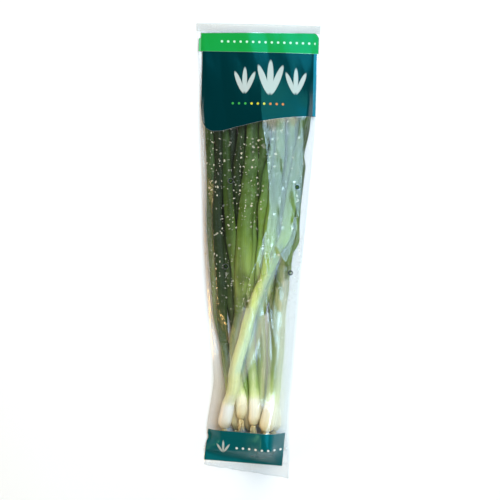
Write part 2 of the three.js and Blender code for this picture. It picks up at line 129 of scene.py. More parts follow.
@dataclass(frozen=True)
class SleeveForm:
    """The sleeve's outline and its back panel, in millimetres."""

    mouth_y: float = 240
    weld_y: float = -228
    foot_y: float = -240
    foot_slant: float = 12
    film: float = 0.7
    side_weld: float = 2.4
    mouth_parting: float = 6
    weld_parting: float = 0.4
    side_lift: float = 4.2
    end_lift: float = 1.4
    foot_fill: float = 50
    mouth_fill: float = 60
    slant_run: float = 20
    flat_share: float = 0.5
    vent_radius: float = 2.3
    vents: Rows = ((-25, 73), (45, 68), (-28, -17), (40, -22))
    left_edge: Curve = Curve(
        (
            (-240, -43), (-226, -46), (-209, -47), (-198, -42), (-189, -44), (-160, -40.5), (-136, -38),
            (-74, -44), (-10, -50.5), (53, -54.5), (121, -58.5), (200, -63), (240, -66),
        )
    )
    right_edge: Curve = Curve(
        (
            (-240, 43), (-216, 44.5), (-188, 43), (-158, 44), (-134, 45.5),
            (-72, 49), (-10, 52.5), (55, 57.5), (124, 62.5), (200, 65), (240, 66),
        )
    )

    def seam_height(self, y: Array) -> Array:
        """Gives the height of the side welds."""
        foot = (self.weld_y, self.weld_y + self.foot_fill)
        filled = between(y, foot, (self.mouth_y - self.mouth_fill, self.mouth_y))
        return self.end_lift + (self.side_lift - self.end_lift) * filled

    def back_height(self, x: Array, y: Array) -> Array:
        """Gives the height of the back panel's inside, which curls up towards the side welds.

        Args:
            x: the points' x.
            y: the points' y.

        Returns:
            The heights in millimetres.
        """
        left, right = self.left_edge(y), self.right_edge(y)
        share = np.abs(x - (left + right) / 2) / ((right - left) / 2)
        curl = np.clip((share - self.flat_share) / (1 - self.flat_share), 0, 1)
        return self.film + (self.seam_height(y) - self.film) * curl * curl

    def slanted(self, x: Array, y: Array) -> Array:
        """Lifts the left of the foot, which is welded at a slant.

        Args:
            x: the points' x.
            y: the points' y.

        Returns:
            The y of each point after the lift.
        """
        left, right = self.left_edge(y), self.right_edge(y)
        share = np.clip((right - x) / (right - left), 0, 1)
        return y + self.foot_slant * smoothstep(-y, -self.weld_y - self.slant_run, -self.weld_y) * share


@dataclass(frozen=True)
class Leaf:
    """One leaf: its tip, width, tone and lane, and how far the film presses its left edge flat."""

    tip: float
    width: float
    tone: float
    path: Rows
    press: float = 0


@dataclass(frozen=True)
class Onion:
    """One onion. Its layer is how high it starts before the bunch settles, its tone how late it greens."""

    girth: float
    layer: float
    tone: float
    shaft: Rows
    leaves: tuple[Leaf, ...]

    @property
    def base_y(self) -> float:
        """Where the root plate is."""
        return self.shaft[0][0]

    @property
    def neck_y(self) -> float:
        """Where the leaves part."""
        return self.shaft[-1][0]


ONIONS = (
    Onion(
        6.4, 3.4, 1.0, ((-188, -22), (-158, -21), (-121, -16), (-84, -7), (-52, 3), (-24, 14)),
        (
            Leaf(205, 13, 0.95, ((12, 20), (75, 24), (139, 26), (202, 28))),
            Leaf(190, 12, 0.7, ((4, 33), (39, 45), (87, 51), (139, 51), (187, 48))),
            Leaf(214, 11, 0.6, ((-4, 24), (49, 36), (107, 38), (165, 37), (213, 34))),
        ),
    ),
    Onion(
        7.6, 2.7, 0.24, ((-189, 32), (-156, 32), (-104, 28), (-62, 28), (-35, 32), (-14, 37)),
        (
            Leaf(196, 9, 0.5, ((18, 48), (66, 54), (129, 56), (192, 55))),
            Leaf(206, 13, 0.6, ((13, 43), (65, 48), (129, 48), (203, 44))),
            Leaf(182, 12, 0.75, ((12, 35), (76, 34), (139, 30), (181, 26))),
        ),
    ),
    Onion(
        5.4, 2.3, 0.15, ((-177, -5), (-157, -9), (-126, -13), (-94, -14), (-66, -13)),
        (
            Leaf(204, 17, 0.46, ((-31, -12), (11, -11), (54, -8), (96, -5), (138, -2), (201, 0))),
            Leaf(192, 11, 0.34, ((-20, -16), (11, -22), (74, -29), (137, -32), (190, -34))),
            Leaf(178, 10, 0.08, ((0, -14), (70, -18), (140, -14), (178, -12))),
        ),
    ),
    Onion(
        5.6, 1.6, 0.42, ((-183, 9), (-157, 5), (-136, 2), (-104, -1), (-78, -1)),
        (
            Leaf(188, 11, 0.6, ((-41, -1), (-9, 0), (33, 2), (75, 4), (128, 7), (186, 8))),
            Leaf(198, 10, 0.45, ((-20, 4), (60, 10), (140, 14), (195, 16))),
            Leaf(210, 12, 0.25, ((-30, -4), (60, -9), (150, -14), (206, -16))),
        ),
    ),
    Onion(
        5.2, 2, 0.42, ((-187, 19), (-157, 16), (-125, 12), (-94, 9), (-70, 8)),
        (
            Leaf(194, 12, 0.78, ((-20, 12), (12, 13), (44, 13), (86, 16), (133, 20), (192, 23))),
            Leaf(190, 9, 0.45, ((22, 9), (107, 9), (190, 9))),
            Leaf(208, 11, 0.5, ((0, 17), (80, 24), (150, 28), (205, 30))),
        ),
    ),
    Onion(
        5.6, 0, 0.0, ((-189, -14), (-158, -18), (-126, -23), (-98, -28)),
        (
            Leaf(182, 11, 0.0, ((-53, -34), (0, -39), (74, -40), (127, -40), (180, -41))),
            Leaf(176, 10, 0.22, ((-42, -42), (10, -47), (74, -49), (126, -49), (175, -50)), 3.6),
            Leaf(196, 13, 0.03, ((-53, -32), (11, -36), (74, -40), (127, -44), (190, -46))),
        ),
    ),
    Onion(
        6, 0.6, 0.05, ((-191, 3), (-158, -3), (-120, -10), (-88, -15)),
        (
            Leaf(200, 13, 0.05, ((-30, -21), (50, -24), (130, -26), (196, -28))),
            Leaf(186, 12, 0.3, ((-30, -18), (50, -16), (130, -8), (186, -4))),
            Leaf(160, 10, 0.0, ((-20, -25), (60, -33), (140, -38), (160, -39))),
        ),
    ),
    Onion(
        5.8, 0.3, 0.5, ((-190, 22), (-150, 24), (-110, 24), (-74, 24)),
        (
            Leaf(184, 11, 0.35, ((-10, 30), (60, 41), (130, 47), (180, 49))),
            Leaf(202, 12, 0.3, ((-10, 26), (60, 22), (140, 12), (200, 8))),
            Leaf(208, 12, 0.4, ((-10, 28), (60, 34), (140, 37), (206, 38))),
        ),
    ),
)


@dataclass
class Strand:
    """A shaft, or one leaf from its neck to its tip, with the centre line that it settles on."""

    onion: Onion
    leaf: Leaf | None
    start_y: float
    end_y: float
    lane: Curve
    rise: float
    line_x: Curve | None = None
    line_z: Curve | None = None
    line_ends: tuple[float, float] = (0, 0)

    bulb_swell = 0.13
    bulb_middle = 12
    bulb_spread = 16
    shaft_flatness = 0.96
    neck_width = 0.86
    neck_height = 0.8
    leaf_flatness = 0.42
    leaf_taper = 0.3
    leaf_start = 10
    leaf_round_off = 60
    tip_length = 55
    least_half_sizes = (0.4, 0.35)
    press_start = 70
    press_end = 40
    press_fade = 0.6
    press_fades_over = (10, 95)
    press_drop = 0.85

    def half_sizes(self, y: Array) -> tuple[Array, Array]:
        """Gives the strand's half width and half height.

        Args:
            y: the heights along the sleeve.

        Returns:
            The half widths and the half heights there.
        """
        y = np.asarray(y, dtype=float)
        girth = self.onion.girth
        if self.leaf is None:
            from_bulb = (y - self.onion.base_y - self.bulb_middle) / self.bulb_spread
            half = girth * (1 + self.bulb_swell * np.exp(-(from_bulb**2)))
            return half, half * self.shaft_flatness
        neck, tip, half = self.onion.neck_y, self.leaf.tip, self.leaf.width / 2
        blade = smoothstep(y, neck - self.leaf_start, neck + self.leaf_round_off)
        taper = 1 - self.leaf_taper * smoothstep(y, neck + self.leaf_round_off, tip - self.tip_length)
        point = np.sqrt(np.clip((tip - y) / self.tip_length, 0, 1))
        width = (girth * self.neck_width * (1 - blade) + half * blade) * taper * point
        height = (girth * self.neck_height * (1 - blade) + half * self.leaf_flatness * blade) * point
        least_width, least_height = self.least_half_sizes
        return np.maximum(width, least_width), np.maximum(height, least_height)

    def pressed(self, y: Array) -> Array:
        """Gives how far the film presses the strand's left edge out flat at each y.

        Args:
            y: the heights along the sleeve.

        Returns:
            How far the edge moves out, in millimetres.
        """
        if self.leaf is None or self.leaf.press == 0:
            return np.zeros_like(np.asarray(y, dtype=float))
        neck = self.onion.neck_y
        begun = smoothstep(y, neck, neck + self.press_start) * smoothstep(self.end_y - y, 0, self.press_end)
        return self.leaf.press * begun * (1 - self.press_fade * smoothstep(y, *self.press_fades_over))

    def centre(self, y: Array) -> tuple[Array, Array]:
        """Gives the settled centre line's x and z at each y."""
        return self.line_x(y), self.line_z(np.clip(y, *self.line_ends))


@dataclass
class Bunch:
    """The eight onions, settled in the sleeve by pushing their sections apart at even stations."""

    form: SleeveForm
    onions: tuple[Onion, ...] = ONIONS
    station: float = 10
    first_station: float = -210
    stations: int = 43
    pulls: int = 500
    separations: int = 400
    clearance: float = 1.5
    film_clearance: float = 0.7
    side_clearance: float = 1.5
    side_slope: float = 0.45
    lowest: float = 6
    layer_rise: float = 9
    leaf_rise: float = 2.5
    gravity: float = 0.12
    lane_pull: float = 0.06
    stiffness: float = 0.3
    push: float = 0.45
    least_rise: float = 0.01
    root_reach: float = 16
    fork_gap: float = 0.01
    end_spare: float = 2
    tip_left: float = 4
    underside: tuple[float, ...] = (-0.9, -0.5, 0, 0.5, 0.9)

    def __post_init__(self) -> None:
        """Makes the strands and settles them."""
        self.plants = [self._strands_of(onion) for onion in self.onions]
        self.strands = [strand for plant in self.plants for strand in plant]
        self._gather()
        self._settle()
        self._draw_lines()

    def _strands_of(self, onion: Onion) -> list[Strand]:
        """Makes the shaft and the leaves of one onion.

        Args:
            onion: the onion.

        Returns:
            The shaft, and then the leaves in their order.
        """
        start = onion.base_y - self.root_reach
        strands = [Strand(onion, None, start, onion.neck_y, Curve(onion.shaft), 0)]
        for i, leaf in enumerate(onion.leaves):
            lane = Curve((onion.shaft[-1], *leaf.path))
            rise = (len(onion.leaves) - 1 - i) * self.leaf_rise
            strands.append(Strand(onion, leaf, onion.neck_y + self.fork_gap, leaf.tip, lane, rise))
        return strands

    def _gather(self) -> None:
        """Lays all section centres in flat arrays, with their neighbours along each strand."""
        sections: list[tuple[Array, ...]] = []
        self.slices: list[slice] = []
        count = 0
        for number, plant in enumerate(self.plants):
            for strand in plant:
                first = math.ceil((strand.start_y - self.first_station) / self.station)
                last = math.floor((strand.end_y - self.first_station) / self.station)
                level = np.arange(first, min(last, self.stations - 1) + 1)
                y = (self.first_station + level * self.station).astype(float)
                start_z = self.lowest + strand.onion.layer * self.layer_rise + strand.rise
                z, owner = np.full(len(y), start_z), np.full(len(y), number)
                sections.append((level, y, strand.lane(y), z, *strand.half_sizes(y), owner))
                self.slices.append(slice(count, count + len(y)))
                count += len(y)
        self.level, self.y, self.lane, self.z, self.half_width, self.half_height, self.owner = (
            np.concatenate(values) for values in zip(*sections)
        )
        self.x = self.lane.copy()
        self._link()
        self._pair()

    def _link(self) -> None:
        """Finds each section's neighbours. The places past the last section stand for the forks."""
        count = len(self.x)
        self.before = np.arange(count) - 1
        self.after = np.arange(count) + 1
        self.tied = np.ones(count, dtype=bool)
        self.fork_starts = []
        index = 0
        for number, plant in enumerate(self.plants):
            spans = self.slices[index : index + len(plant)]
            index += len(plant)
            shaft = spans[0]
            self.tied[shaft.start] = False
            self.after[shaft.stop - 1] = count + number
            for span in spans[1:]:
                self.before[span.start] = shaft.stop - 1
                self.tied[span.stop - 1] = False
                self.after[span.stop - 1] = span.stop - 1
            self.before[shaft.start] = shaft.start
            self.fork_starts.append([span.start for span in spans[1:]])

    def _pair(self) -> None:
        """Lists every pair of sections at one station, with how far they have to keep apart."""
        first, second, ranks = [], [], []
        for level in range(self.stations):
            members = np.flatnonzero(self.level == level)
            i, k = np.triu_indices(len(members), 1)
            first.append(members[i])
            second.append(members[k])
            ranks.append(k - i)
        a, b, rank = np.concatenate(first), np.concatenate(second), np.concatenate(ranks)
        necks = np.array([onion.neck_y for onion in self.onions])
        own = smoothstep(self.y[a] - necks[self.owner[a]], 0, Strand.leaf_round_off)
        share = np.where(self.owner[a] == self.owner[b], own, 1.0)
        kept = share > 0
        self.a, self.b, self.rank = a[kept], b[kept], rank[kept]
        share = share[kept]
        self.reach_x = (self.half_width[self.a] + self.half_width[self.b] + self.clearance) * share
        self.reach_z = (self.half_height[self.a] + self.half_height[self.b] + self.clearance) * share

    def _pull(self) -> None:
        """Moves each section towards its lane, down, and towards the line of its neighbours."""
        x = np.append(self.x, [self.x[starts].mean() for starts in self.fork_starts])
        z = np.append(self.z, [self.z[starts].mean() for starts in self.fork_starts])
        straight_x = (x[self.before] + x[self.after]) / 2 - self.x
        straight_z = (z[self.before] + z[self.after]) / 2 - self.z
        self.x = self.x + (self.lane - self.x) * self.lane_pull + self.tied * straight_x * self.stiffness
        self.z = self.z - self.gravity + self.tied * straight_z * self.stiffness

    def _separate(self) -> None:
        """Moves overlapping sections apart across the shorter way, and keeps all in the sleeve."""
        dx = self.x[self.b] - self.x[self.a]
        dz = self.z[self.b] - self.z[self.a]
        dz = dz + np.where(np.abs(dz) < self.least_rise, self.least_rise * self.rank, 0)
        near = np.hypot(dx / self.reach_x, dz / self.reach_z)
        slope_x, slope_z = dx / self.reach_x**2, dz / self.reach_z**2
        steep = np.maximum(slope_x**2 + slope_z**2, 1e-12)
        depth = np.minimum((1 - near) * near / steep, self.reach_z / np.sqrt(steep)) * self.push
        depth = np.where(near < 1, depth, 0)
        count = len(self.x)
        step_x, step_z = slope_x * depth, slope_z * depth
        move_x = np.bincount(self.b, step_x, count) - np.bincount(self.a, step_x, count)
        move_z = np.bincount(self.b, step_z, count) - np.bincount(self.a, step_z, count)
        rise = np.maximum(self.z - self.seam, 0) * self.side_slope
        margin = self.half_width + self.form.side_weld + self.side_clearance + rise
        self.x = np.maximum(self.left + margin, np.minimum(self.right - margin, self.x + move_x))
        floor = np.full(count, -1e9)
        for t in self.underside:
            back = self.form.back_height(self.x + t * self.half_width, self.y)
            floor = np.maximum(floor, back + self.half_height * math.sqrt(1 - t * t))
        self.z = np.maximum(self.z + move_z, floor + self.film_clearance)

    def _settle(self) -> None:
        """Pulls and separates by turns, then only separates."""
        self.left, self.right = self.form.left_edge(self.y), self.form.right_edge(self.y)
        self.seam = self.form.seam_height(self.y)
        for _ in range(self.pulls):
            self._pull()
            self._separate()
        for _ in range(self.separations):
            self._separate()

    def _draw_lines(self) -> None:
        """Gives each strand its settled centre line. A leaf's line starts on its shaft."""
        index = 0
        for plant in self.plants:
            shaft_span = self.slices[index]
            for strand in plant:
                chosen = np.arange(self.slices[index].start, self.slices[index].stop)
                if strand.leaf is not None:
                    chosen = np.append([shaft_span.stop - 2, shaft_span.stop - 1], chosen)
                y, x, z = self.y[chosen], self.x[chosen], self.z[chosen]
                strand.line_x = Curve(tuple(zip(y, x)))
                strand.line_z = Curve(tuple(zip(y, z)))
                strand.line_ends = (float(y[0]), float(y[-1]))
                index += 1

    def top(self, x: Array, y: Array, spare: float) -> Array:
        """Gives the height of the onions under a grid of points.

        Args:
            x: the points' x, one row for each y.
            y: the y of each row.
            spare: how much wider each strand counts.

        Returns:
            The height at each point, 0 where no onion is.
        """
        height = np.zeros_like(x)
        for strand in self.strands:
            low, high = strand.start_y - self.end_spare, strand.end_y + self.end_spare
            rows = np.flatnonzero((y > low) & (y < high))
            at = np.clip(y[rows], strand.start_y, strand.end_y - self.tip_left)
            half_width, half_height = strand.half_sizes(at)
            centre_x, centre_z = strand.centre(at)
            pressed = strand.pressed(at)
            half_width, centre_x = half_width + pressed / 2, centre_x - pressed / 2
            centre_z = centre_z - pressed * strand.press_drop / 2
            off = np.maximum(np.abs(x[rows] - centre_x[:, None]) - spare, 0) / half_width[:, None]
            arch = np.sqrt(np.clip(1 - off * off, 0, 1)) * half_height[:, None]
            over = np.where(off < 1, centre_z[:, None] + arch, 0)
            height[rows] = np.maximum(height[rows], over)
        return height


def add_node(
    tree: bpy.types.NodeTree,
    kind: str,
    inputs: dict[str | int, SocketValue] | None = None,
    stops: Stops = (),
    **settings: object,
) -> bpy.types.Node:
    """Adds one node.

    Args:
        tree: the node tree.
        kind: the node's type name after ShaderNode.
        inputs: a value, a hex colour, a node or a socket for each input named.
        stops: for a colour ramp, its places and hex colours.
        settings: its properties.

    Returns:
        The node.
    """
    node = tree.nodes.new(f"ShaderNode{kind}")
    if stops:
        elements = node.color_ramp.elements
        elements.remove(elements[-1])
        elements[0].position, elements[0].color = stops[0][0], linear(stops[0][1])
        for place, colour in stops[1:]:
            elements.new(place).color = linear(colour)
    for name, value in settings.items():
        setattr(node, name, value)
    for key, value in (inputs or {}).items():
        if isinstance(value, str):
            value = linear(value)
        if isinstance(value, bpy.types.Node):
            value = value.outputs[0]
        if isinstance(value, bpy.types.NodeSocket):
            tree.links.new(value, node.inputs[key])
        else:
            node.inputs[key].default_value = value
    return node


def blank_material(name: str) -> tuple[Material, AddNode]:
    """Makes a material with an empty node tree, and what adds nodes to it.

    Args:
        name: the material's name.

    Returns:
        The material, and add_node with its node tree filled in.
    """
    material = bpy.data.materials.new(name)
    material.use_nodes = True
    material.node_tree.nodes.clear()
    return material, partial(add_node, material.node_tree)


@dataclass(frozen=True)
class PlantFinish:
    """Living onion tissue: ribbed along its length, satin, with its colour set by how far up it is."""

    name: str
    dark: Stops
    bright: Stops
    bloom: str
    bloom_share: float
    rib_mm: float
    rib_depth_mm: float
    roughness: float
    shine: float
    ior: float = 1.42
    reach_m: float = 0.42
    wander: float = 0.05
    side_scale: tuple[float, float, float] = (95, 5, 95)
    side_seeds: float = 9.0
    girth_mm: float = 30
    rib_run: float = 2.2
    sheen_range: tuple[float, float] = (-0.08, 0.12)

    def material(self) -> Material:
        """Makes the material.

        Returns:
            A material that reads the growth and tone attributes and the surface's own UV map.
        """
        material, add = blank_material(self.name)
        growth = add("Attribute", attribute_name="growth").outputs["Fac"]
        tone = add("Attribute", attribute_name="tone").outputs["Fac"]
        place = add("TexCoord")
        along = add("MapRange", {0: growth, 2: self.reach_m})
        wander = add("TexNoise", {"Vector": place.outputs["Object"], "Scale": 45, "Detail": 3})
        shift = add("Math", {0: wander, 1: self.wander, 2: along}, operation="MULTIPLY_ADD")
        shift = add("Math", {0: shift, 1: self.wander / 2}, operation="SUBTRACT")
        side_at = add("Mapping", {"Vector": place.outputs["Object"], "Scale": self.side_scale})
        own = add("Math", {0: tone, 1: self.side_seeds}, operation="MULTIPLY")
        side = add("TexNoise", {"Vector": side_at, "W": own, "Scale": 1, "Detail": 1}, noise_dimensions="4D")
        turned = add("MapRange", {0: side, 1: 0.36, 2: 0.64, 3: 0.5, 4: 1.4})
        late = add("Math", {0: tone, 1: turned}, operation="MULTIPLY", use_clamp=True)
        dark = add("ValToRGB", {0: shift}, stops=self.dark)
        bright = add("ValToRGB", {0: shift}, stops=self.bright)
        colour = add("Mix", {0: late, 6: dark, 7: bright}, data_type="RGBA").outputs[2]
        rib_scale = (self.girth_mm / self.rib_mm, self.rib_run, 1)
        ribs_at = add("Mapping", {"Vector": place.outputs["UV"], "Scale": rib_scale})
        ribs = add("TexNoise", {"Vector": ribs_at, "Scale": 1, "Detail": 3, "Roughness": 0.6})
        streak = add("MapRange", {0: ribs, 1: 0.3, 2: 0.7, 3: 0.8, 4: 1.14})
        colour = add("VectorMath", {0: colour, "Scale": streak}, operation="SCALE")
        patches = add(
            "TexNoise", {"Vector": place.outputs["Object"], "Scale": 70, "Detail": 4, "Roughness": 0.65}
        )
        coated = add("MapRange", {0: side, 1: 0.48, 2: 0.6, 3: 0.12, 4: self.bloom_share})
        worn = add("MapRange", {0: patches, 1: 0.36, 2: 0.6})
        kept = add("MapRange", {0: tone, 2: 0.6, 3: 0.12, 4: 1.0})
        waxy = coated
        for share in (worn, kept):
            waxy = add("Math", {0: waxy, 1: share}, operation="MULTIPLY")
        colour = add("Mix", {0: waxy, 6: colour, 7: self.bloom}, data_type="RGBA").outputs[2]
        smooth, rough = (self.roughness + change for change in self.sheen_range)
        sheen = add("MapRange", {0: patches, 1: 0.3, 2: 0.7, 3: smooth, 4: rough})
        bump = add("Bump", {"Height": ribs, "Strength": 0.6, "Distance": self.rib_depth_mm * MM})
        shader = add(
            "BsdfPrincipled",
            {
                "Base Color": colour, "Roughness": sheen, "Normal": bump,
                "IOR": self.ior, "Specular IOR Level": self.shine,
            },
        )
        add("OutputMaterial", {"Surface": shader})
        return material


# Colours up an onion that greens early, and up one whose shaft stays pale, by share of the way up.
EARLY_GREEN = (
    (0.0, "#CDB87A"), (0.02, "#E4D3A0"), (0.055, "#F0E6C4"), (0.075, "#D9E08E"), (0.1, "#8FAE34"),
    (0.15, "#507520"), (0.23, "#344B18"), (0.36, "#253312"), (0.6, "#1D270F"), (1.0, "#19210D"),
)
LATE_GREEN = (
    (0.0, "#E0D2A2"), (0.02, "#FBF7E8"), (0.058, "#FFFFF8"), (0.082, "#EAF2AC"), (0.2, "#DEEA98"),
    (0.34, "#C2D668"), (0.46, "#7D9D29"), (0.62, "#45651A"), (1.0, "#38541A"),
)
# Onion leaf: a hollow tube of green tissue under grey wax, ribbed by its veins.
LEAF_FINISH = PlantFinish(
    name="waxed_onion_leaf",
    dark=EARLY_GREEN,
    bright=LATE_GREEN,
    bloom="#7F9C66",
    bloom_share=0.42,
    rib_mm=0.7,
    rib_depth_mm=0.12,
    roughness=0.42,
    shine=0.13,
)
# Onion shaft: wet white leaf bases wrapped tight, turning yellow-green as they rise into the light.
SHAFT_FINISH = PlantFinish(
    name="blanched_onion_shaft",
    dark=EARLY_GREEN,
    bright=LATE_GREEN,
    bloom="#FBFBF0",
    bloom_share=0.12,
    rib_mm=0.5,
    rib_depth_mm=0.08,
    roughness=0.3,
    shine=0.4,
)


@dataclass(frozen=True)
class RootFinish:
    """Dried root fibre: straw coloured and dull, darker in patches where soil clings."""

    name: str = "dried_onion_root"
    colours: Stops = ((0.3, "#C2A260"), (0.5, "#E8D296"), (0.72, "#FFF0C4"))

    def material(self) -> Material:
        """Makes the material.

        Returns:
            Straw-coloured fibre that reads Object coordinates.
        """
        material, add = blank_material(self.name)
        place = add("TexCoord")
        grain = add("TexNoise", {"Vector": place.outputs["Object"], "Scale": 600, "Detail": 3})
        colour = add("ValToRGB", {0: grain}, stops=self.colours)
        bump = add("Bump", {"Height": grain, "Strength": 0.5, "Distance": 0.1 * MM})
        shader = add("BsdfPrincipled", {"Base Color": colour, "Roughness": 0.8, "Normal": bump})
        add("OutputMaterial", {"Surface": shader})
        return material


@dataclass(frozen=True)
class PrintArea:
    """Ink, doubled film and painted light and shade, each bounded by lines given as (a, b, c) with a x + b y
    > c, in mm.
    """

    colour: str
    bounds: tuple[tuple[float, float, float], ...]
    cover: float = 0.985
    soft_mm: float = 0.25


@dataclass(frozen=True)
class PrintLeaf:
    """One printed leaf of the plain sprig: its middle and half sizes in mm, and its turn in radians."""

    middle: tuple[float, float]
    half_sizes: tuple[float, float]
    turn: float


def sprig(foot: tuple[float, float], length: float, turns: Sequence[float]) -> tuple[PrintLeaf, ...]:
    """Fans printed leaves out from one foot.

    Args:
        foot: where the leaves meet, in mm.
        length: how long the upright leaf is, in mm.
        turns: how far each leaf leans from upright, in radians.

    Returns:
        The leaves.
    """
    leaves = []
    for turn in turns:
        long = length * (1 - 0.22 * abs(turn))
        middle = (foot[0] + math.sin(turn) * long * 0.56, foot[1] + math.cos(turn) * long * 0.56)
        leaves.append(PrintLeaf(middle, (long * 0.46, length * 0.085), math.pi / 2 - turn))
    return tuple(leaves)


GREEN_BAND = PrintArea(
    "#189A3F",
    (
        (1, 0, -60.5), (-1, 0, -64.5), (0, 1, 210.2), (0.02, -1, -230.7),
        (-0.92, -0.39, -147.9), (-0.6, -0.8, -221.8),
    ),
)
FOOT_BAND = PrintArea(
    "#05575C", ((1, -0.12, -19.6), (-1, 0.07, -52.5), (-0.019, -1, 190.3), (0.058, 1, -225.0))
)
PANEL = PrintArea("#002C30", ((1, 0, -58.5), (-1, 0, -62.8), (0, -1, -210.2)))
# Ink that is stretched thin where the film turns over the side welds.
THIN_INK = (
    PrintArea("#1E7F96", ((1, 0, 59.6), (-1, 0, -62.8), (0, -1, -210.2), (0, 1, 143.8)), 0.9),
    PrintArea("#2C93A4", ((1, -0.07, 63.2), (-1, 0.07, -66.2), (-0.019, -1, 190.3), (0.058, 1, -221)), 0.9),
    PrintArea("#63D98A", ((1, 0, -62.6), (-1, 0, 60.5), (0, 1, 210.2), (0, -1, -224)), 0.75),
)
# Plain rows of dots and a sprig, in white and three bright colours.
DOT_ROWS = (
    PrintArea("#C9F0D2", ((1, 0, -42), (-1, 0, -61), (0, 1, 217.7), (0, -1, -224.3)), 0.98),
    PrintArea("#3FA84A", ((1, 0, -29), (-1, 0, 9), (0, 1, 151.7), (0, -1, -158.3)), 0.98),
    PrintArea("#D9CF3C", ((1, 0, -9), (-1, 0, -11), (0, 1, 151.7), (0, -1, -158.3)), 0.98),
    PrintArea("#DB7A30", ((1, 0, 11), (-1, 0, -31), (0, 1, 151.7), (0, -1, -158.3)), 0.98),
    PrintArea("#EDF3F0", ((1, 0, -14), (-1, 0, -42), (0, 1, -211.3), (0, -1, 204.7)), 0.98),
)
SPRIG_WHITE = PrintArea("#B9C1BC", ())
SPRIGS = (
    *sprig((-13, 164), 29, (-0.4, 0.0, 0.4)),
    *sprig((14, 162), 39, (-0.36, 0.0, 0.36)),
    *sprig((41, 164), 29, (-0.4, 0.0, 0.4)),
    *sprig((-26, -214), 13, (-0.6, 0.0, 0.6)),
)
CONDENSATION = PrintArea("#EFE8CE", (), 0.43)
# Painted shade: a dark ring round each vent, standing in for the shade seen through the holes.
PAINTED_VENT_SHADE = PrintArea("#171C11", (), 0.95)
# Film pressed double in long flaps, cloudier than a single sheet; the rows marked below are painted light
# instead.
HAZE_AND_PAINTED_LIGHT = (
    PrintArea("#D9D3B8", ((0.969, -0.245, 22.3), (-0.94, 0.34, -41), (0, -1, 66), (0, 1, -146)), 0.24, 2.5),
    PrintArea("#DCD6BE", ((0.978, -0.209, 2.2), (-0.99, 0.13, -10), (0, -1, 60), (0, 1, -160)), 0.16, 2.5),
    # Painted highlight: a pale glint down the right flank of onion 2's shaft.
    PrintArea("#F5F8E6", ((1, -0.05, 33.5), (-1, 0, -38.5), (0.3, -0.95, 38), (0.2, 0.98, -176)), 0.27, 3),
    # Painted reflection: a soft tan haze over the lower left, left of x = -27 mm, standing in for warm
    # surroundings showing in the film.
    PrintArea("#C2AE84", ((-1, 0, 27), (0.5, -0.866, 78), (0, 1, -194)), 0.09, 6),
    PrintArea("#C2AE84", ((-1, 0, 27), (-0.3, -0.954, 142), (0, 1, -194)), 0.1, 6),
    PrintArea("#C2AE84", ((-1, 0, 27), (0.7, -0.714, 90), (0, 1, -194)), 0.12, 5),
    PrintArea("#D6D2B4", ((1, 0.1, 2.5), (-1, 0, -21), (0, -1, 74), (0, 1, -158)), 0.24, 2),
    # Painted reflection: a pale cyan strip down the right flank of onion 1's shaft, standing in for the cool
    # glare on the film there.
    PrintArea("#CDE6E2", ((1, -0.307, 22.5), (-1, 0.307, -31), (0, -1, 4), (0, 1, -128)), 0.2, 2.5),
    PrintArea("#BEBEB3", ((0, 1, 231.4),), 0.15),
    PrintArea("#F8FCFF", ((0, -1, 224),), 0.13, 2),
)


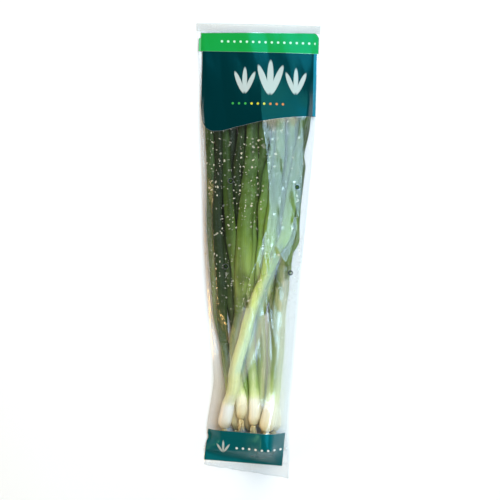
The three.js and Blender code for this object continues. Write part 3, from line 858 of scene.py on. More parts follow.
@dataclass(frozen=True)
class FilmPrint:
    """The masks of what lies on the front of the film: haze, painted highlights and reflections,
    condensation, ink and painted shade round the vents.
    """

    add: AddNode
    place: SocketValue
    vents: Rows = SleeveForm.vents
    vent_radius: float = SleeveForm.vent_radius
    edge_mm: float = 0.25
    rim_range: tuple[float, float] = (0.2, 0.7)
    dot_pitch: float = 6.6
    dot_origin: tuple[float, float] = (1.5, 155)
    dot_edge: tuple[float, float] = (0.22, 0.16)
    panel_foot: Rows = (
        (-62, 160), (-58.2, 150), (-57, 138), (-54, 130.5), (-50, 126.8), (-44, 125.2),
        (-20, 130), (4, 136), (30, 140.5), (61, 143.5), (66, 144),
    )
    foot_range: tuple[float, float] = (110, 170)
    side_range: tuple[float, float] = (-66, 70)
    # Each layer of condensation: its cells in mm, the share of them left dry, and the widest bead.
    speck_cells: tuple[tuple[float, float, float], ...] = (
        (6, 0.5, 0.24), (11, 0.55, 0.18), (3.2, 0.58, 0.28),
    )
    speck_smear_mm: float = 4.2
    bead_edge: float = 0.06
    # Where the beads begin, thicken and end: up the sleeve, out to its sides and below its mouth.
    speck_rise: tuple[float, float] = (-110, -10)
    speck_sides: tuple[float, float] = (53, 49)
    speck_mouth: tuple[float, float] = (205, 198)

    def _mask(self, area: PrintArea) -> SocketValue:
        """Masks one area by its straight sides.

        Args:
            area: the area.

        Returns:
            The mask, 1 inside.
        """
        mask: SocketValue = 1.0
        for a, b, c in area.bounds:
            side = self.add("VectorMath", {0: self.place, 1: (a, b, 0)}, operation="DOT_PRODUCT")
            side = side.outputs["Value"]
            low, high = (c - area.soft_mm) * MM, (c + area.soft_mm) * MM
            inside = self.add("MapRange", {0: side, 1: low, 2: high})
            mask = self.add("Math", {0: mask, 1: inside}, operation="MULTIPLY")
        return mask

    def _above_panel_foot(self) -> bpy.types.Node:
        """Masks what is above the large panel's curved lower edge.

        Returns:
            The mask, 1 above the edge.
        """
        parts = self.add("SeparateXYZ", {0: self.place})
        low_x, high_x = self.side_range
        low_y, high_y = self.foot_range
        across = self.add("MapRange", {0: parts.outputs["X"], 1: low_x * MM, 2: high_x * MM})
        edge = self.add("FloatCurve", {"Value": across})
        curve = edge.mapping.curves[0]
        wide, tall = high_x - low_x, high_y - low_y
        points = [((x - low_x) / wide, (y - low_y) / tall) for x, y in self.panel_foot]
        curve.points[0].location = (0, points[0][1])
        curve.points[1].location = (1, points[-1][1])
        for x, y in points:
            curve.points.new(x, y)
        edge.mapping.update()
        up = self.add("MapRange", {0: parts.outputs["Y"], 1: low_y * MM, 2: high_y * MM})
        over = self.add("Math", {0: up, 1: edge}, operation="SUBTRACT")
        soft = self.edge_mm / tall
        return self.add("MapRange", {0: over, 1: -soft, 2: soft})

    def _sprigs(self) -> SocketValue:
        """Masks the printed leaves.

        Returns:
            The mask, 1 on a leaf.
        """
        total: SocketValue = 0.0
        for leaf in SPRIGS:
            long, wide = leaf.half_sizes
            x, y = leaf.middle
            spot = {"Location": (x * MM, y * MM, 0), "Rotation": (0, 0, leaf.turn)}
            size = {"Scale": (long * MM, wide * MM, 1)}
            own = self.add("Mapping", {"Vector": self.place, **spot, **size}, vector_type="TEXTURE")
            away = self.add("VectorMath", {0: own}, operation="LENGTH").outputs["Value"]
            soft = self.edge_mm / wide
            inside = self.add("MapRange", {0: away, 1: 1 + soft, 2: 1 - soft})
            total = self.add("Math", {0: total, 1: inside}, operation="MAXIMUM")
        return total

    def _dots(self) -> bpy.types.Node:
        """Masks an even grid of dots, which the dotted areas show a row of.

        Returns:
            The mask, 1 on a dot.
        """
        pitch = self.dot_pitch * MM
        x, y = self.dot_origin
        grid = {"Vector": self.place, "Location": (x * MM, y * MM, 0), "Scale": (pitch, pitch, 1)}
        grid = self.add("Mapping", grid, vector_type="TEXTURE")
        cells = self.add("TexVoronoi", {"Vector": grid, "Scale": 1, "Randomness": 0}, voronoi_dimensions="2D")
        full, gone = self.dot_edge
        return self.add("MapRange", {0: cells.outputs["Distance"], 1: full, 2: gone})

    def _painted_vent_shade(self) -> SocketValue:
        """Masks a dark ring round each vent, painted shade for the dark that shows inside the hole.

        Returns:
            The mask, 1 on the painted shade ring.
        """
        flat = self.add("VectorMath", {0: self.place, 1: (1, 1, 0)}, operation="MULTIPLY")
        nearest: SocketValue = 1.0
        for x, y in self.vents:
            away = self.add("VectorMath", {0: flat, 1: (x * MM, y * MM, 0)}, operation="DISTANCE")
            nearest = self.add("Math", {0: nearest, 1: away.outputs["Value"]}, operation="MINIMUM")
        low, high = ((self.vent_radius + out) * MM for out in self.rim_range)
        return self.add("MapRange", {0: nearest, 1: high, 2: low})

    def _specks(self) -> SocketValue:
        """Masks the beads and smears of condensation, 1 to 4 mm across, mostly over the upper leaves.

        Returns:
            The mask, 1 on a bead.
        """
        total: SocketValue = 0.0
        blur = self.add("TexNoise", {"Vector": self.place, "Scale": 300, "Detail": 2})
        smear = {0: blur.outputs["Color"], 1: (self.speck_smear_mm * MM,) * 3, 2: self.place}
        uneven = self.add("VectorMath", smear, operation="MULTIPLY_ADD")
        for cell_mm, share, widest in self.speck_cells:
            scale = 1 / (cell_mm * MM)
            cells = self.add("TexVoronoi", {"Vector": uneven, "Scale": scale}, voronoi_dimensions="2D")
            random = self.add("SeparateXYZ", {0: cells.outputs["Color"]})
            radius = self.add("MapRange", {0: random.outputs["X"], 1: share, 2: 1.0, 3: 0.0, 4: widest})
            inside = self.add("Math", {0: radius, 1: cells.outputs["Distance"]}, operation="SUBTRACT")
            spot = self.add("MapRange", {0: inside, 1: 0.0, 2: self.bead_edge})
            total = self.add("Math", {0: total, 1: spot}, operation="MAXIMUM")
        parts = self.add("SeparateXYZ", {0: self.place})
        low, high = self.speck_rise
        upper = self.add("MapRange", {0: parts.outputs["Y"], 1: low * MM, 2: high * MM, 3: 0.05, 4: 1.0})
        patches = self.add("TexNoise", {"Vector": self.place, "Scale": 42, "Detail": 2})
        cluster = self.add("MapRange", {0: patches, 1: 0.36, 2: 0.54})
        out = self.add("Math", {0: parts.outputs["X"]}, operation="ABSOLUTE")
        outer, inside = self.speck_sides
        inner = self.add("MapRange", {0: out, 1: outer * MM, 2: inside * MM})
        gone, full = self.speck_mouth
        below_mouth = self.add("MapRange", {0: parts.outputs["Y"], 1: gone * MM, 2: full * MM})
        for share in (upper, cluster, inner, below_mouth):
            total = self.add("Math", {0: total, 1: share}, operation="MULTIPLY")
        return total

    def layers(self) -> list[tuple[SocketValue, PrintArea]]:
        """Lists what lies on the clear film, from the bottom up, each with its mask.

        Returns:
            Each layer's mask, and the area that gives its colour and cover.
        """
        layers = [(self._mask(area), area) for area in HAZE_AND_PAINTED_LIGHT]
        layers.append((self._specks(), CONDENSATION))
        sides, foot = self._mask(PANEL), self._above_panel_foot()
        layers.append((self.add("Math", {0: sides, 1: foot}, operation="MULTIPLY"), PANEL))
        layers += [(self._mask(area), area) for area in (GREEN_BAND, FOOT_BAND, *THIN_INK)]
        layers.append((self._sprigs(), SPRIG_WHITE))
        dots = self._dots()
        for row in DOT_ROWS:
            whole = self._mask(row)
            mask = self.add("Math", {0: whole, 1: dots}, operation="MULTIPLY")
            layers.append((mask, row))
        layers.append((self._painted_vent_shade(), PAINTED_VENT_SHADE))
        return layers


@dataclass(frozen=True)
class FilmFinish:
    """Clear cast film, 30 micron, mirror smooth between its creases, printed on the front only."""

    name: str
    printed: bool
    clear: float = 0.03
    grazing: float = 0.6
    roughness: float = 0.13
    ink_roughness: float = 0.26
    film_metal: float = 0.9
    ink_shine: float = 0.38
    ink_tint: str = "#2FC3CF"

    def material(self) -> Material:
        """Makes the material.

        Returns:
            Clear film as see-through mixed with gloss, and ink, haze and painted light and shade where the
            front is printed.
        """
        material, add = blank_material(self.name)
        place = add("TexCoord").outputs["Object"]
        stretched = add("Mapping", {"Vector": place, "Rotation": (0, 0, 0.35), "Scale": (1, 0.28, 1)})
        crinkle = add("TexNoise", {"Vector": stretched, "Scale": 210, "Detail": 3, "Roughness": 0.55})
        bump = add("Bump", {"Height": crinkle, "Strength": 0.5, "Distance": 0.2 * MM})
        facing = add("LayerWeight", {"Blend": 0.5, "Normal": bump})
        grazing = add("Math", {0: facing.outputs["Facing"], 1: 5.0}, operation="POWER")
        cover: SocketValue = add("MapRange", {0: grazing, 3: self.clear, 4: self.grazing})
        colour: SocketValue = linear("#EDF2F2")
        metallic: SocketValue = self.film_metal
        roughness: SocketValue = self.roughness
        tint: SocketValue = linear("#FFFFFF")
        if self.printed:
            solid: SocketValue = 0.0
            for mask, area in FilmPrint(add, place).layers():
                colour = add("Mix", {0: mask, 6: colour, 7: area.colour}, data_type="RGBA").outputs[2]
                cover = add("Mix", {0: mask, 2: cover, 3: area.cover}, data_type="FLOAT")
                solid = add("Math", {0: solid, 1: mask}, operation="MAXIMUM")
            metallic = add("MapRange", {0: solid, 3: self.film_metal, 4: 0.0})
            tint = add("Mix", {0: solid, 6: tint, 7: self.ink_tint}, data_type="RGBA").outputs[2]
            roughness = add("MapRange", {0: solid, 3: self.roughness, 4: self.ink_roughness})
        gloss = add(
            "BsdfPrincipled",
            {
                "Base Color": colour, "Metallic": metallic, "Roughness": roughness,
                "Specular IOR Level": self.ink_shine, "Specular Tint": tint, "Normal": bump,
            },
        )
        through = add("BsdfTransparent")
        mixed = add("MixShader", {0: cover, 1: through, 2: gloss})
        add("OutputMaterial", {"Surface": mixed})
        return material


def deselect() -> None:
    """Deselects everything, so that the next operator acts on its own piece alone."""
    bpy.ops.object.select_all(action="DESELECT")


def vertices(piece: Piece) -> Array:
    """Gives the place of each vertex in metres, one row each.

    Args:
        piece: the piece.

    Returns:
        The places, one row for each vertex.
    """
    flat = np.empty(len(piece.data.vertices) * 3)
    piece.data.vertices.foreach_get("co", flat)
    return flat.reshape(-1, 3)


def wrapped_grid(name: str, around: int, along: int, place: Placer) -> Piece:
    """Wraps a grid round into a tube.

    Args:
        name: the piece's name.
        around: how many faces go round.
        along: how many faces go along.
        place: gives x, y and z in millimetres for each vertex from its column and its row.

    Returns:
        The tube, its seam and its points merged, with faces pointing out.
    """
    deselect()
    bpy.ops.mesh.primitive_grid_add(x_subdivisions=around, y_subdivisions=along, size=1)
    piece = bpy.context.active_object
    piece.name = piece.data.name = name
    x, y, _ = vertices(piece).T
    column, row = (np.rint((at + 0.5) * count).astype(int) for at, count in ((x, around), (y, along)))
    placed = np.stack(place(column, row), axis=1) * MM
    piece.data.vertices.foreach_set("co", placed.ravel())
    piece.data.update()
    bpy.ops.object.mode_set(mode="EDIT")
    bpy.ops.mesh.select_all(action="SELECT")
    bpy.ops.mesh.remove_doubles(threshold=1e-6)
    bpy.ops.mesh.normals_make_consistent(inside=False)
    bpy.ops.object.mode_set(mode="OBJECT")
    bpy.ops.object.shade_smooth()
    return piece


def set_attribute(piece: Piece, name: str, values: Array | float) -> None:
    """Stores one number on every vertex.

    Args:
        piece: the piece.
        name: the attribute's name.
        values: one number for each vertex, or one for all.
    """
    count = len(piece.data.vertices)
    attribute = piece.data.attributes.new(name, "FLOAT", "POINT")
    attribute.data.foreach_set("value", np.broadcast_to(values, count).astype(np.float32))


def joined(pieces: list[Piece], name: str) -> Piece:
    """Joins pieces in the first of them.

    Args:
        pieces: the pieces, which are used up.
        name: the name of what they become.

    Returns:
        The one piece.
    """
    deselect()
    for piece in pieces:
        piece.select_set(True)
    bpy.context.view_layer.objects.active = pieces[0]
    bpy.ops.object.join()
    pieces[0].name = pieces[0].data.name = name
    return pieces[0]


def stand_for(piece: Piece, node: str) -> None:
    """Lets a finished piece stand for its CAD node.

    Args:
        piece: the piece.
        node: the node that it replaces.
    """
    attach(piece, "root")
    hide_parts(node)
    LOG.info("%s: %d faces for %s", piece.name, len(piece.data.polygons), node)


GOLDEN_ANGLE = 2.399963


@dataclass
class OnionPlant:
    """One onion: its shaft, its leaves and its roots, each replacing its own node."""

    number: int
    strands: list[Strand]
    shaft_sides: int = 36
    leaf_sides: int = 30
    ring_mm: float = 2.6
    foot_rings: tuple[float, ...] = (0.4, 0.4, 1, 2)
    foot_end: float = 3.5
    foot_lift: float = 2.5
    foot_rounding: float = 9
    neck_run: float = 30
    neck_taper: float = 0.13
    sunk: float = 12
    tip_rings: tuple[float, ...] = (4, 2.5, 1.2, 0.4, 0)
    tip_start: float = 6
    tucked: float = 0.96
    tuck_step: float = 0.05
    tone_change: tuple[float, float] = (-5, 55)
    blade_run: float = 70
    groove_turn: float = 0.9
    groove_sway: float = 0.25
    groove_wave: float = 60
    groove_width: float = 0.32
    groove_depth: float = 0.13
    # Each wave of dents: its depth, its length in mm, how often it goes round, and its share of the seed.
    dents: tuple[tuple[float, float, int, float], ...] = ((0.03, 17, 2, 1), (0.02, 7.3, -3, 1.7))
    rib_count: int = 11
    rib_height: float = 0.012
    shaft_dents: float = 0.35
    blade_flare: float = 0.06
    plate_share: float = 0.5
    plate_flatness: float = 0.55
    roots: int = 46
    root_length: float = 13
    root_radius: float = 0.5
    root_lowest: float = 1.9
    root_droop: float = 1.5
    root_sway: float = 0.6
    root_sides: int = 5
    root_steps: int = 7

    node_ends = {Growth.SHAFT: "shaft", Growth.LEAF: "leaves", Growth.ROOT: "roots"}

    def _tube(
        self, name: str, strand: Strand, rings: Array, sizes: Array, sides: int, seed: float
    ) -> Piece:
        """Wraps a strand's skin round its centre line.

        Args:
            name: the piece's name.
            strand: the shaft or leaf.
            rings: the y of each ring.
            sizes: how far each ring is opened, 0 at a closed end.
            sides: how many faces go round.
            seed: what tells this strand's dents from the others'.

        Returns:
            The closed tube.
        """
        leafy = strand.leaf is not None

        def place(column: Array, row: Array) -> Points:
            """Places the skin's vertices.

            Args:
                column: the vertex's column.
                row: its ring.

            Returns:
                Its x, y and z in millimetres.
            """
            y = rings[row]
            turn = 2 * math.pi * (column % sides) / sides - math.pi / 2
            half_width, half_height = strand.half_sizes(y)
            centre_x, centre_z = strand.centre(y)
            neck = strand.onion.neck_y
            away = smoothstep(y, neck, neck + self.blade_run) if leafy else 0.0
            sway = self.groove_sway * np.sin(y / self.groove_wave + seed)
            groove_at = math.pi / 2 + self.groove_turn * math.sin(seed * 2.1) + sway
            groove = np.exp(-(((turn - groove_at) / self.groove_width) ** 2)) * self.groove_depth * away
            dents = sum(
                depth * np.sin(y / wave + times * turn + seed * share)
                for depth, wave, times, share in self.dents
            )
            ribs = self.rib_height * np.cos(turn * self.rib_count + seed)
            radius = sizes[row] * (1 + (dents if leafy else dents * self.shaft_dents) + ribs - groove)
            flat = 1 + self.blade_flare * away * np.cos(2 * turn)
            x = centre_x + half_width * np.cos(turn) * radius * flat
            z = centre_z + half_height * np.sin(turn) * radius
            pressed = strand.pressed(y) * np.clip(-np.cos(turn), 0, 1) ** 2
            return x - pressed, y, z - pressed * strand.press_drop

        return wrapped_grid(name, sides, len(rings) - 1, place)

    def _rings(self, start: float, end: float) -> Array:
        """Spaces rings evenly between two heights."""
        return np.linspace(start, end, max(2, round((end - start) / self.ring_mm)) + 1)

    def _finish(self, piece: Piece, part: Growth, material: Material) -> None:
        """Dresses a piece and lets it stand for its node.

        Args:
            piece: the piece.
            part: which part of the onion it is.
            material: what it is made of.
        """
        growth = vertices(piece)[:, 1] - self.strands[0].onion.base_y * MM
        set_attribute(piece, "growth", growth)
        piece.data.materials.clear()
        piece.data.materials.append(material)
        stand_for(piece, f"onion_{self.number}_{self.node_ends[part]}")

    def build_shaft(self, material: Material) -> None:
        """Builds the wrapped shaft, rounded in to its root plate and drawn in at its neck.

        Args:
            material: what it is made of.
        """
        strand = self.strands[0]
        base, neck = strand.onion.base_y, strand.onion.neck_y
        foot = base + np.array(self.foot_rings)
        rings = np.concatenate([foot, self._rings(base + self.foot_end, neck), [neck]])
        sizes = np.sqrt(np.clip((rings - base + self.foot_lift) / self.foot_rounding, 0, 1))
        sizes *= 1 - self.neck_taper * smoothstep(rings, neck - self.neck_run, neck)
        sizes[0] = sizes[-1] = 0
        name = f"wrapped_shaft_{self.number}"
        piece = self._tube(name, strand, rings, sizes, self.shaft_sides, self.number)
        set_attribute(piece, "tone", strand.onion.tone)
        self._finish(piece, Growth.SHAFT, material)

    def build_leaves(self, material: Material) -> None:
        """Builds the leaves, which come out of the shaft's neck one inside the other.

        Args:
            material: what they are made of.
        """
        neck = self.strands[0].onion.neck_y
        low = neck - self.sunk
        pale, leafy = ((neck + change) * MM for change in self.tone_change)
        leaves = []
        for i, strand in enumerate(self.strands[1:]):
            tip = strand.end_y - np.array(self.tip_rings)
            rings = np.concatenate([[low], self._rings(low, strand.end_y - self.tip_start), tip])
            sizes = np.ones(len(rings))
            sizes[rings < neck + 2] = self.tucked - self.tuck_step * i
            sizes[0] = sizes[-1] = 0
            name = f"leaf_{self.number}_{i}"
            leaf = self._tube(name, strand, rings, sizes, self.leaf_sides, self.number * 3 + i)
            own = smoothstep(vertices(leaf)[:, 1], pale, leafy)
            set_attribute(leaf, "tone", strand.onion.tone * (1 - own) + strand.leaf.tone * own)
            leaves.append(leaf)
        self._finish(joined(leaves, f"leaf_tuft_{self.number}"), Growth.LEAF, material)

    def build_roots(self, material: Material) -> None:
        """Builds the root plate and its tuft of cut roots.

        Args:
            material: what they are made of.
        """
        strand = self.strands[0]
        base = strand.onion.base_y
        centre_x, centre_z = (float(v) for v in strand.centre(base))
        plate = strand.onion.girth * self.plate_share
        deselect()
        bpy.ops.mesh.primitive_uv_sphere_add(segments=20, ring_count=12, radius=plate * MM)
        pieces = [bpy.context.active_object]
        bpy.ops.transform.resize(value=(1, self.plate_flatness, 1))
        bpy.ops.transform.translate(value=(centre_x * MM, (base - plate * 0.5) * MM, centre_z * MM))
        bpy.ops.object.transform_apply(location=True, rotation=True, scale=True)
        bpy.ops.object.shade_smooth()
        for i in range(self.roots):
            pieces.append(self._root(i, plate, centre_x, centre_z))
        self._finish(joined(pieces, f"root_tuft_{self.number}"), Growth.ROOT, material)

    def _root(self, i: int, plate: float, centre_x: float, centre_z: float) -> Piece:
        """Builds one root, which bends away from the middle of the plate.

        Args:
            i: the root's number, which sets its turn and reach.
            plate: the root plate's radius.
            centre_x: the plate's x.
            centre_z: the plate's z.

        Returns:
            The root.
        """
        turn = i * GOLDEN_ANGLE + self.number
        spread = math.sqrt((i + 0.5) / self.roots)
        reach = self.root_length * (0.7 + 0.3 * math.sin(i * 1.7 + self.number))
        start = self.strands[0].onion.base_y - plate * 0.45
        sides, steps = self.root_sides, self.root_steps

        def place(column: Array, row: Array) -> Points:
            """Places the root's vertices.

            Args:
                column: the vertex's column.
                row: its ring.

            Returns:
                Its x, y and z in millimetres.
            """
            t = np.clip((row - 1) / (steps - 2), 0, 1)
            out = plate * spread * (0.7 + 0.8 * t) + 0.6 * np.sin(t * 5 + i)
            sway = turn + self.root_sway * t * math.sin(i + self.number)
            closed = (row == 0) | (row == steps)
            radius = np.where(closed, 0, self.root_radius * (1 - 0.5 * t))
            around = 2 * math.pi * (column % sides) / sides
            x = centre_x + out * np.cos(sway) + radius * np.cos(around)
            z = np.maximum(centre_z + out * np.sin(sway) - t * self.root_droop, self.root_lowest)
            z = z + radius * np.sin(around)
            return x, start - reach * t, z

        return wrapped_grid(f"root_{self.number}_{i}", sides, steps, place)


# How much each neighbour across and along the sleeve counts as the film draws taut.
ACROSS_PULL = 0.43
ALONG_PULL = 0.07
# The creases of each place on the film. A row gives how deep it is, in mm, and the folds that cross in it,
# each with its angle in radians, and its wavelength and shift in mm.
Creases = tuple[tuple[float | tuple[float, float, float], ...], ...]
CREASES: dict[str, Creases] = {
    "right": ((1.3, (0.42, 31, 0), (0.16, 47, 9)), (0.9, (-0.3, 27, 4), (0.55, 53, 2))),
    "waist": ((0.9, (0.1, 9.5, 3), (-0.12, 31, 11)),),
    "foot": ((1.1, (1.2, 14, 0), (-0.8, 17, 5)), (0.4, (0.5, 11, 2))),
    "upper": ((1.3, (0.8, 60, 20), (0.05, 48, 7)),),
    "left": ((1.2, (1.25, 4.3, 0), (-1.1, 5.6, 2)),),
    "everywhere": ((0.7, (0.25, 29, 13), (-0.2, 51, 3)),),
}


@dataclass
class FilmSleeve:
    """The film bag: drawn taut over the onions, creased, printed on the front and punched."""

    form: SleeveForm
    bunch: Bunch
    front_columns: int = 128
    back_columns: int = 30
    rows: int = 236
    weld_rows: int = 4
    wall: float = 0.12
    weld_gap: float = 0.03
    floor_gap: float = 0.14
    settle_top: float = 4.2
    settle_run: float = 3.5
    clearance: float = 0.35
    spare: float = 0.5
    tautness_steps: int = 4500
    tent_steps: int = 700
    tent_slope: float = 0.17
    tent_fall: float = 1.1
    tent_ends: tuple[float, float] = (-62, 180)
    tent_end_fall: float = 0.5
    tent_smoothing: int = 10
    crease_margin: tuple[float, float] = (2, 9)
    # Each wave of the foot's cut edge: its height and length in mm, and its shift in radians.
    foot_waves: tuple[tuple[float, float, float], ...] = ((0.3, 4.3, 0), (0.2, 1.9, 1))
    foot_ripple: float = 0.5
    foot_ripple_wave: float = 4.9
    # How much smaller each hole is punched than the vent; the ring left over carries the printed film's
    # painted shade.
    vent_rim: float = 0.9
    punch_reach: float = 11
    tent_lift: Curve = Curve(((-75, 0), (-20, 6.5), (60, 6.5), (98, 10), (140, 9), (190, 0)))
    tent_left: Curve = Curve(((-70, -13), (-52, -9), (-10, 3), (38, 15), (90, 12), (136, 6), (175, 4)))
    tent_right: Curve = Curve(((-70, -4), (-30, 18), (-10, 36), (23, 46), (60, 50), (136, 51), (175, 50)))

    def _columns(self, y: Array, count: int) -> Array:
        """Spaces the columns of one panel between the side welds.

        Args:
            y: the y of each row.
            count: how many faces go across.

        Returns:
            The x of each column, one row for each y.
        """
        left = (self.form.left_edge(y) + self.form.side_weld)[:, None]
        right = (self.form.right_edge(y) - self.form.side_weld)[:, None]
        even = np.linspace(0, 1, count + 1)
        share = (even + (1 - np.cos(math.pi * even)) / 2) / 2
        return left + (right - left) * share

    def _back(self, x: Array, y: Array) -> Array:
        """Gives the back panel's height, laid down on the surface."""
        height = self.form.back_height(x, y[:, None])
        settled = np.clip((self.settle_top - height) / self.settle_run, 0, 1)
        return height - (self.form.film - self.floor_gap) * settled

    def _taut(self, x: Array, y: Array) -> Array:
        """Draws the front panel taut over the onions, as a membrane over obstacles.

        Args:
            x: the points' x, one row for each y.
            y: the y of each row.

        Returns:
            The height of each point.
        """
        even = np.linspace(-1, 1, x.shape[1])
        bulge = 1 - even**2
        back = self._back(x, y)
        top = self.bunch.top(x, y, self.spare)
        top = np.maximum(top, np.maximum(np.roll(top, 1, axis=0), np.roll(top, -1, axis=0)))
        least = np.maximum(back + bulge, top + self.clearance)
        least[0] = back[0] + self.form.mouth_parting * bulge
        least[-1] = back[-1] + self.form.weld_parting * bulge
        least[:, 0], least[:, -1] = back[:, 0], back[:, -1]
        height = self._relaxed(least.copy(), least, self.tautness_steps)
        least[1:-1, 1:-1] = np.maximum(least, self._tent(x, y, height))[1:-1, 1:-1]
        return self._relaxed(np.maximum(height, least), least, self.tent_steps)

    @staticmethod
    def _relaxed(height: Array, least: Array, steps: int) -> Array:
        """Lets a membrane shrink on to what it lies over.

        Args:
            height: where the membrane starts.
            least: how low each point may sink.
            steps: how many times it shrinks.

        Returns:
            The height of each point.
        """
        for _ in range(steps):
            across = (height[1:-1, :-2] + height[1:-1, 2:]) * ACROSS_PULL
            along = (height[:-2, 1:-1] + height[2:, 1:-1]) * ALONG_PULL
            height[1:-1, 1:-1] = np.maximum(least[1:-1, 1:-1], across + along)
        return height

    def _tent(self, x: Array, y: Array, height: Array) -> Array:
        """Gives the broad flat slope that the stiff film keeps between the bunch and its right weld.

        Args:
            x: the points' x, one row for each y.
            y: the y of each row.
            height: the taut film's heights.

        Returns:
            The slope's height at each point.
        """
        left, right = self.tent_left(y), self.tent_right(y)
        ridge = np.array([np.interp(at, row_x, row_z) for at, row_x, row_z in zip(left, x, height)])
        count = 2 * self.tent_smoothing + 1
        padded = np.pad(ridge, self.tent_smoothing, mode="edge")
        ridge = np.convolve(padded, np.ones(count) / count, mode="valid")
        low, high = self.tent_ends
        past = np.maximum(low - y, 0) + np.maximum(y - high, 0)
        top = (ridge + self.tent_lift(y) - self.tent_end_fall * past)[:, None]
        left, right = left[:, None], right[:, None]
        inner = self.tent_slope * np.maximum(x - left, 0)
        outer = self.tent_fall * (np.maximum(x - right, 0) + np.maximum(left - x, 0))
        return top - inner - outer

    def _creases(self, x: Array, y: Array) -> Array:
        """Gives how far the film stands off in creases: sharp diagonal ones, pleats and a crumpled foot.

        Args:
            x: the points' x, one row for each y.
            y: the y of each row.

        Returns:
            How far each point stands off.
        """
        y = np.broadcast_to(y[:, None], x.shape)
        warp = 5 * np.sin(y / 43 + 0.6) + 3 * np.sin(x / 19 + y / 71)

        def height(creases: Creases) -> Array:
            """Adds up one place's creases.

            Args:
                creases: the creases.

            Returns:
                How far they stand off at each point.
            """
            total = np.zeros_like(x)
            for depth, *folds in creases:
                crossing = np.full_like(x, depth)
                for angle, wave, shift in folds:
                    across = x * math.cos(angle) + y * math.sin(angle) + warp + shift
                    crossing *= np.abs(across / wave % 1 - 0.5) * 2
                total += crossing
            return total

        left, right = self.form.left_edge(y), self.form.right_edge(y)
        places = {
            "right": smoothstep(x, 0, 30) * between(y, (-190, -60), (120, 150)),
            "waist": between(y, (-200, -120), (-40, 60)),
            "foot": between(y, (-229, -216), (-208, -186)),
            "upper": between(y, (90, 150), (225, 240)),
            "left": smoothstep(-x, 21, 30) * between(y, (-125, -100), (-10, 20)),
            "everywhere": 1.0,
        }
        inside = smoothstep(x - left, *self.crease_margin) * smoothstep(right - x, *self.crease_margin)
        return inside * sum(height(CREASES[name]) * where for name, where in places.items())

    def _skin(self) -> tuple[Piece, int]:
        """Wraps the film's inner skin into one bag.

        Returns:
            The bag, open at the mouth, and how many of its columns of vertices are the front panel's.
        """
        form = self.form
        y = np.linspace(form.mouth_y, form.weld_y, self.rows + 1)
        front_x, back_x = self._columns(y, self.front_columns), self._columns(y, self.back_columns)
        front_z = self._taut(front_x, y) + self._creases(front_x, y)
        back_z = self._back(back_x, y)
        seam = (form.seam_height(y) - form.film / 2)[:, None]

        def with_welds(x: Array, z: Array, lift: float) -> tuple[Array, Array]:
            """Adds the side welds' outer edges to a panel."""
            outer_left, outer_right = form.left_edge(y)[:, None], form.right_edge(y)[:, None]
            x = np.hstack([outer_left, x, outer_right])
            return x, np.hstack([seam + lift, z, seam + lift])

        front_x, front_z = with_welds(front_x, front_z, self.weld_gap)
        back_x, back_z = with_welds(back_x, back_z, 0.0)
        front_z[:, 1] = front_z[:, -2] = back_z[:, 1] + self.weld_gap
        x = np.hstack([front_x, back_x[:, ::-1]])
        z = np.hstack([front_z, back_z[:, ::-1]])
        rows_y = form.slanted(x, np.broadcast_to(y[:, None], x.shape))
        front_count = front_x.shape[1]
        for k in range(1, self.weld_rows + 1):
            share = k / self.weld_rows
            flat = np.full(x.shape[1], self.floor_gap)
            ripple = np.abs(np.sin(x[-1, :front_count] / self.foot_ripple_wave + k))
            flat[:front_count] += self.weld_gap + self.foot_ripple * ripple
            z = np.vstack([z, z[self.rows] * (1 - share) + flat * share])
            x = np.vstack([x, x[self.rows]])
            ragged = sum(tall * np.sin(x[-1] / wave + shift) for tall, wave, shift in self.foot_waves)
            drop = (form.weld_y - form.foot_y) * share - ragged * share
            rows_y = np.vstack([rows_y, rows_y[self.rows] - drop])

        def place(column: Array, row: Array) -> Points:
            """Places the bag's vertices.

            Args:
                column: the vertex's column.
                row: its ring.

            Returns:
                Its x, y and z in millimetres.
            """
            at = column % x.shape[1]
            return x[row, at], rows_y[row, at], z[row, at]

        return wrapped_grid("film_sleeve", x.shape[1], len(x) - 1, place), front_count

    def _punch(self, piece: Piece) -> None:
        """Punches the vents through the front panel.

        Args:
            piece: the bag with its wall.
        """
        punches = []
        for x, y in self.form.vents:
            height = self._height_at(piece, x, y)
            deselect()
            bpy.ops.mesh.primitive_cylinder_add(
                vertices=28,
                radius=(self.form.vent_radius - self.vent_rim) * MM,
                depth=self.punch_reach * MM,
                location=(x * MM, y * MM, height),
            )
            bpy.ops.object.transform_apply(location=True, rotation=True, scale=True)
            punches.append(bpy.context.active_object)
        tool = joined(punches, "vent_punch")
        deselect()
        bpy.context.view_layer.objects.active = piece
        piece.select_set(True)
        cut = piece.modifiers.new("vents", "BOOLEAN")
        cut.operation = "DIFFERENCE"
        cut.solver = "EXACT"
        cut.object = tool
        bpy.ops.object.modifier_apply(modifier=cut.name)
        bpy.data.objects.remove(tool)

    @staticmethod
    def _height_at(piece: Piece, x: float, y: float) -> float:
        """Gives the film's height in metres at the vertex nearest a place, on the front panel.

        Args:
            piece: the bag.
            x: the place's x in millimetres.
            y: its y.

        Returns:
            The height in metres.
        """
        at = vertices(piece)
        near = np.hypot(at[:, 0] - x * MM, at[:, 1] - y * MM) < 3 * MM
        return float(at[near, 2].max())

    def build(self, front: Material, back: Material) -> None:
        """Builds the sleeve, gives it its wall, punches it and dresses it.

        Args:
            front: the printed film.
            back: the plain film.
        """
        piece, front_count = self._skin()
        piece.data.materials.clear()
        piece.data.materials.append(front)
        piece.data.materials.append(back)
        columns = len(piece.data.polygons) // (self.rows + self.weld_rows)
        panel = (np.arange(len(piece.data.polygons)) % columns >= front_count - 1).astype(np.int32)
        piece.data.polygons.foreach_set("material_index", panel)
        wall = piece.modifiers.new("wall", "SOLIDIFY")
        wall.thickness = self.wall * MM
        wall.offset = 1
        bpy.ops.object.modifier_apply(modifier=wall.name)
        self._punch(piece)
        stand_for(piece, "sleeve")


@dataclass(frozen=True)
class Lamp:
    """One soft light: its place, size in metres, watts and colour, and the y of what it faces."""

    name: str
    place: tuple[float, float, float]
    size: tuple[float, float]
    power: float
    colour: str
    aim_y: float = 0


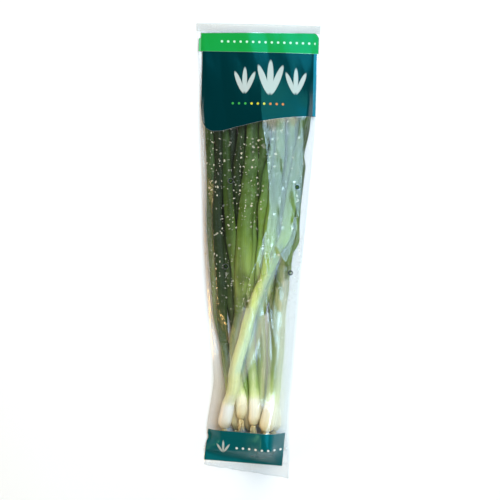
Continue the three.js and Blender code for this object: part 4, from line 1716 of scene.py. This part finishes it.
@dataclass
class Studio:
    """A plain pale floor, soft light and the camera straight above."""

    view_mm: float = 527.5
    aim_mm: tuple[float, float] = (-2.9, 0.9)
    aim_height: float = 0.012
    camera_distance: float = 2.2
    roll: float = 0.02505
    sensor_mm: float = 36
    floor_size: float = 6
    lamps: tuple[Lamp, ...] = (
        Lamp("cool_window", (0.46, 0.36, 1.42), (0.78, 1.1), 22.5, "#C3E2FA", 0.36),
        Lamp("cool_sill", (1.4, 0.0, 0.45), (0.4, 1.4), 4, "#D6ECF8"),
        Lamp("key_softbox", (0.3, 1.35, 1.25), (0.9, 0.9), 14, "#FFF0DA"),
        Lamp("warm_lamp", (-1.4, -0.35, 0.42), (0.22, 0.22), 4.2, "#FFC678"),
        Lamp("warm_wall", (-1.4, -0.3, 0.3), (0.3, 1.2), 3, "#E6B878"),
        Lamp("low_fill", (0.1, -0.95, 1.45), (1.6, 0.7), 8.5, "#FFEDCF"),
    )
    surround_sides: float = 0.34
    surround_top: float = 0.04

    def build_floor(self) -> None:
        """Lays the pale floor."""
        deselect()
        bpy.ops.mesh.primitive_grid_add(x_subdivisions=8, y_subdivisions=8, size=self.floor_size)
        floor = bpy.context.active_object
        floor.name = "pale_floor"
        material, add = blank_material("matt_white_board")
        place = add("TexCoord")
        grain = add("TexNoise", {"Vector": place.outputs["Object"], "Scale": 3})
        stops = ((0.3, "#F8F8F8"), (0.7, "#FAFAFA"))
        colour = add("ValToRGB", {0: grain}, stops=stops)
        shader = add("BsdfPrincipled", {"Base Color": colour, "Roughness": 0.9})
        add("OutputMaterial", {"Surface": shader})
        floor.data.materials.append(material)

    def build_lights(self) -> None:
        """Hangs the lamps, each turned to the bunch, in an even pale surround."""
        for lamp in self.lamps:
            light = bpy.data.lights.new(lamp.name, "AREA")
            light.shape = "RECTANGLE"
            light.size, light.size_y = lamp.size
            light.energy = lamp.power
            light.color = linear(lamp.colour)[:3]
            holder = bpy.data.objects.new(lamp.name, light)
            bpy.context.scene.collection.objects.link(holder)
            x, y, z = lamp.place
            y -= lamp.aim_y
            holder.location = lamp.place
            holder.rotation_euler = (0, math.atan2(math.hypot(x, y), z), math.atan2(y, x))
        world = bpy.data.worlds.new("pale_surround")
        world.use_nodes = True
        world.node_tree.nodes.clear()
        add = partial(add_node, world.node_tree)
        sight = add("TexCoord").outputs["Generated"]
        up = add("SeparateXYZ", {0: sight}).outputs["Z"]
        strength = add("MapRange", {0: up, 1: 0.4, 2: 0.9, 3: self.surround_sides, 4: self.surround_top})
        background = add("Background", {"Color": "#F8F5EF", "Strength": strength})
        add("OutputWorld", {"Surface": background})
        bpy.context.scene.world = world

    def build_camera(self) -> None:
        """Sets the camera straight above, rolled as the photograph is."""
        data = bpy.data.cameras.new("overhead")
        data.sensor_width = self.sensor_mm
        data.lens = self.sensor_mm * self.camera_distance / (self.view_mm * MM)
        camera = bpy.data.objects.new("overhead", data)
        bpy.context.scene.collection.objects.link(camera)
        x, y = self.aim_mm
        camera.location = (x * MM, y * MM, self.aim_height + self.camera_distance)
        camera.rotation_euler = (0, 0, self.roll)
        bpy.context.scene.camera = camera
        bpy.context.scene.view_settings.view_transform = "Standard"

    def build(self) -> None:
        """Builds all of it."""
        self.build_camera()
        self.build_floor()
        self.build_lights()


def main() -> None:
    """Builds the studio, the onions and the sleeve, in that order."""
    logging.basicConfig(level=logging.INFO, format="%(message)s")
    Studio().build()
    form = SleeveForm()
    bunch = Bunch(form)
    shaft, leaf, root = SHAFT_FINISH.material(), LEAF_FINISH.material(), RootFinish().material()
    for number, strands in enumerate(bunch.plants, start=1):
        plant = OnionPlant(number, strands)
        plant.build_shaft(shaft)
        plant.build_leaves(leaf)
        plant.build_roots(root)
    front = FilmFinish("printed_clear_film", printed=True).material()
    back = FilmFinish("plain_clear_film", printed=False).material()
    FilmSleeve(form, bunch).build(front, back)


if __name__ == "__main__":
    main()
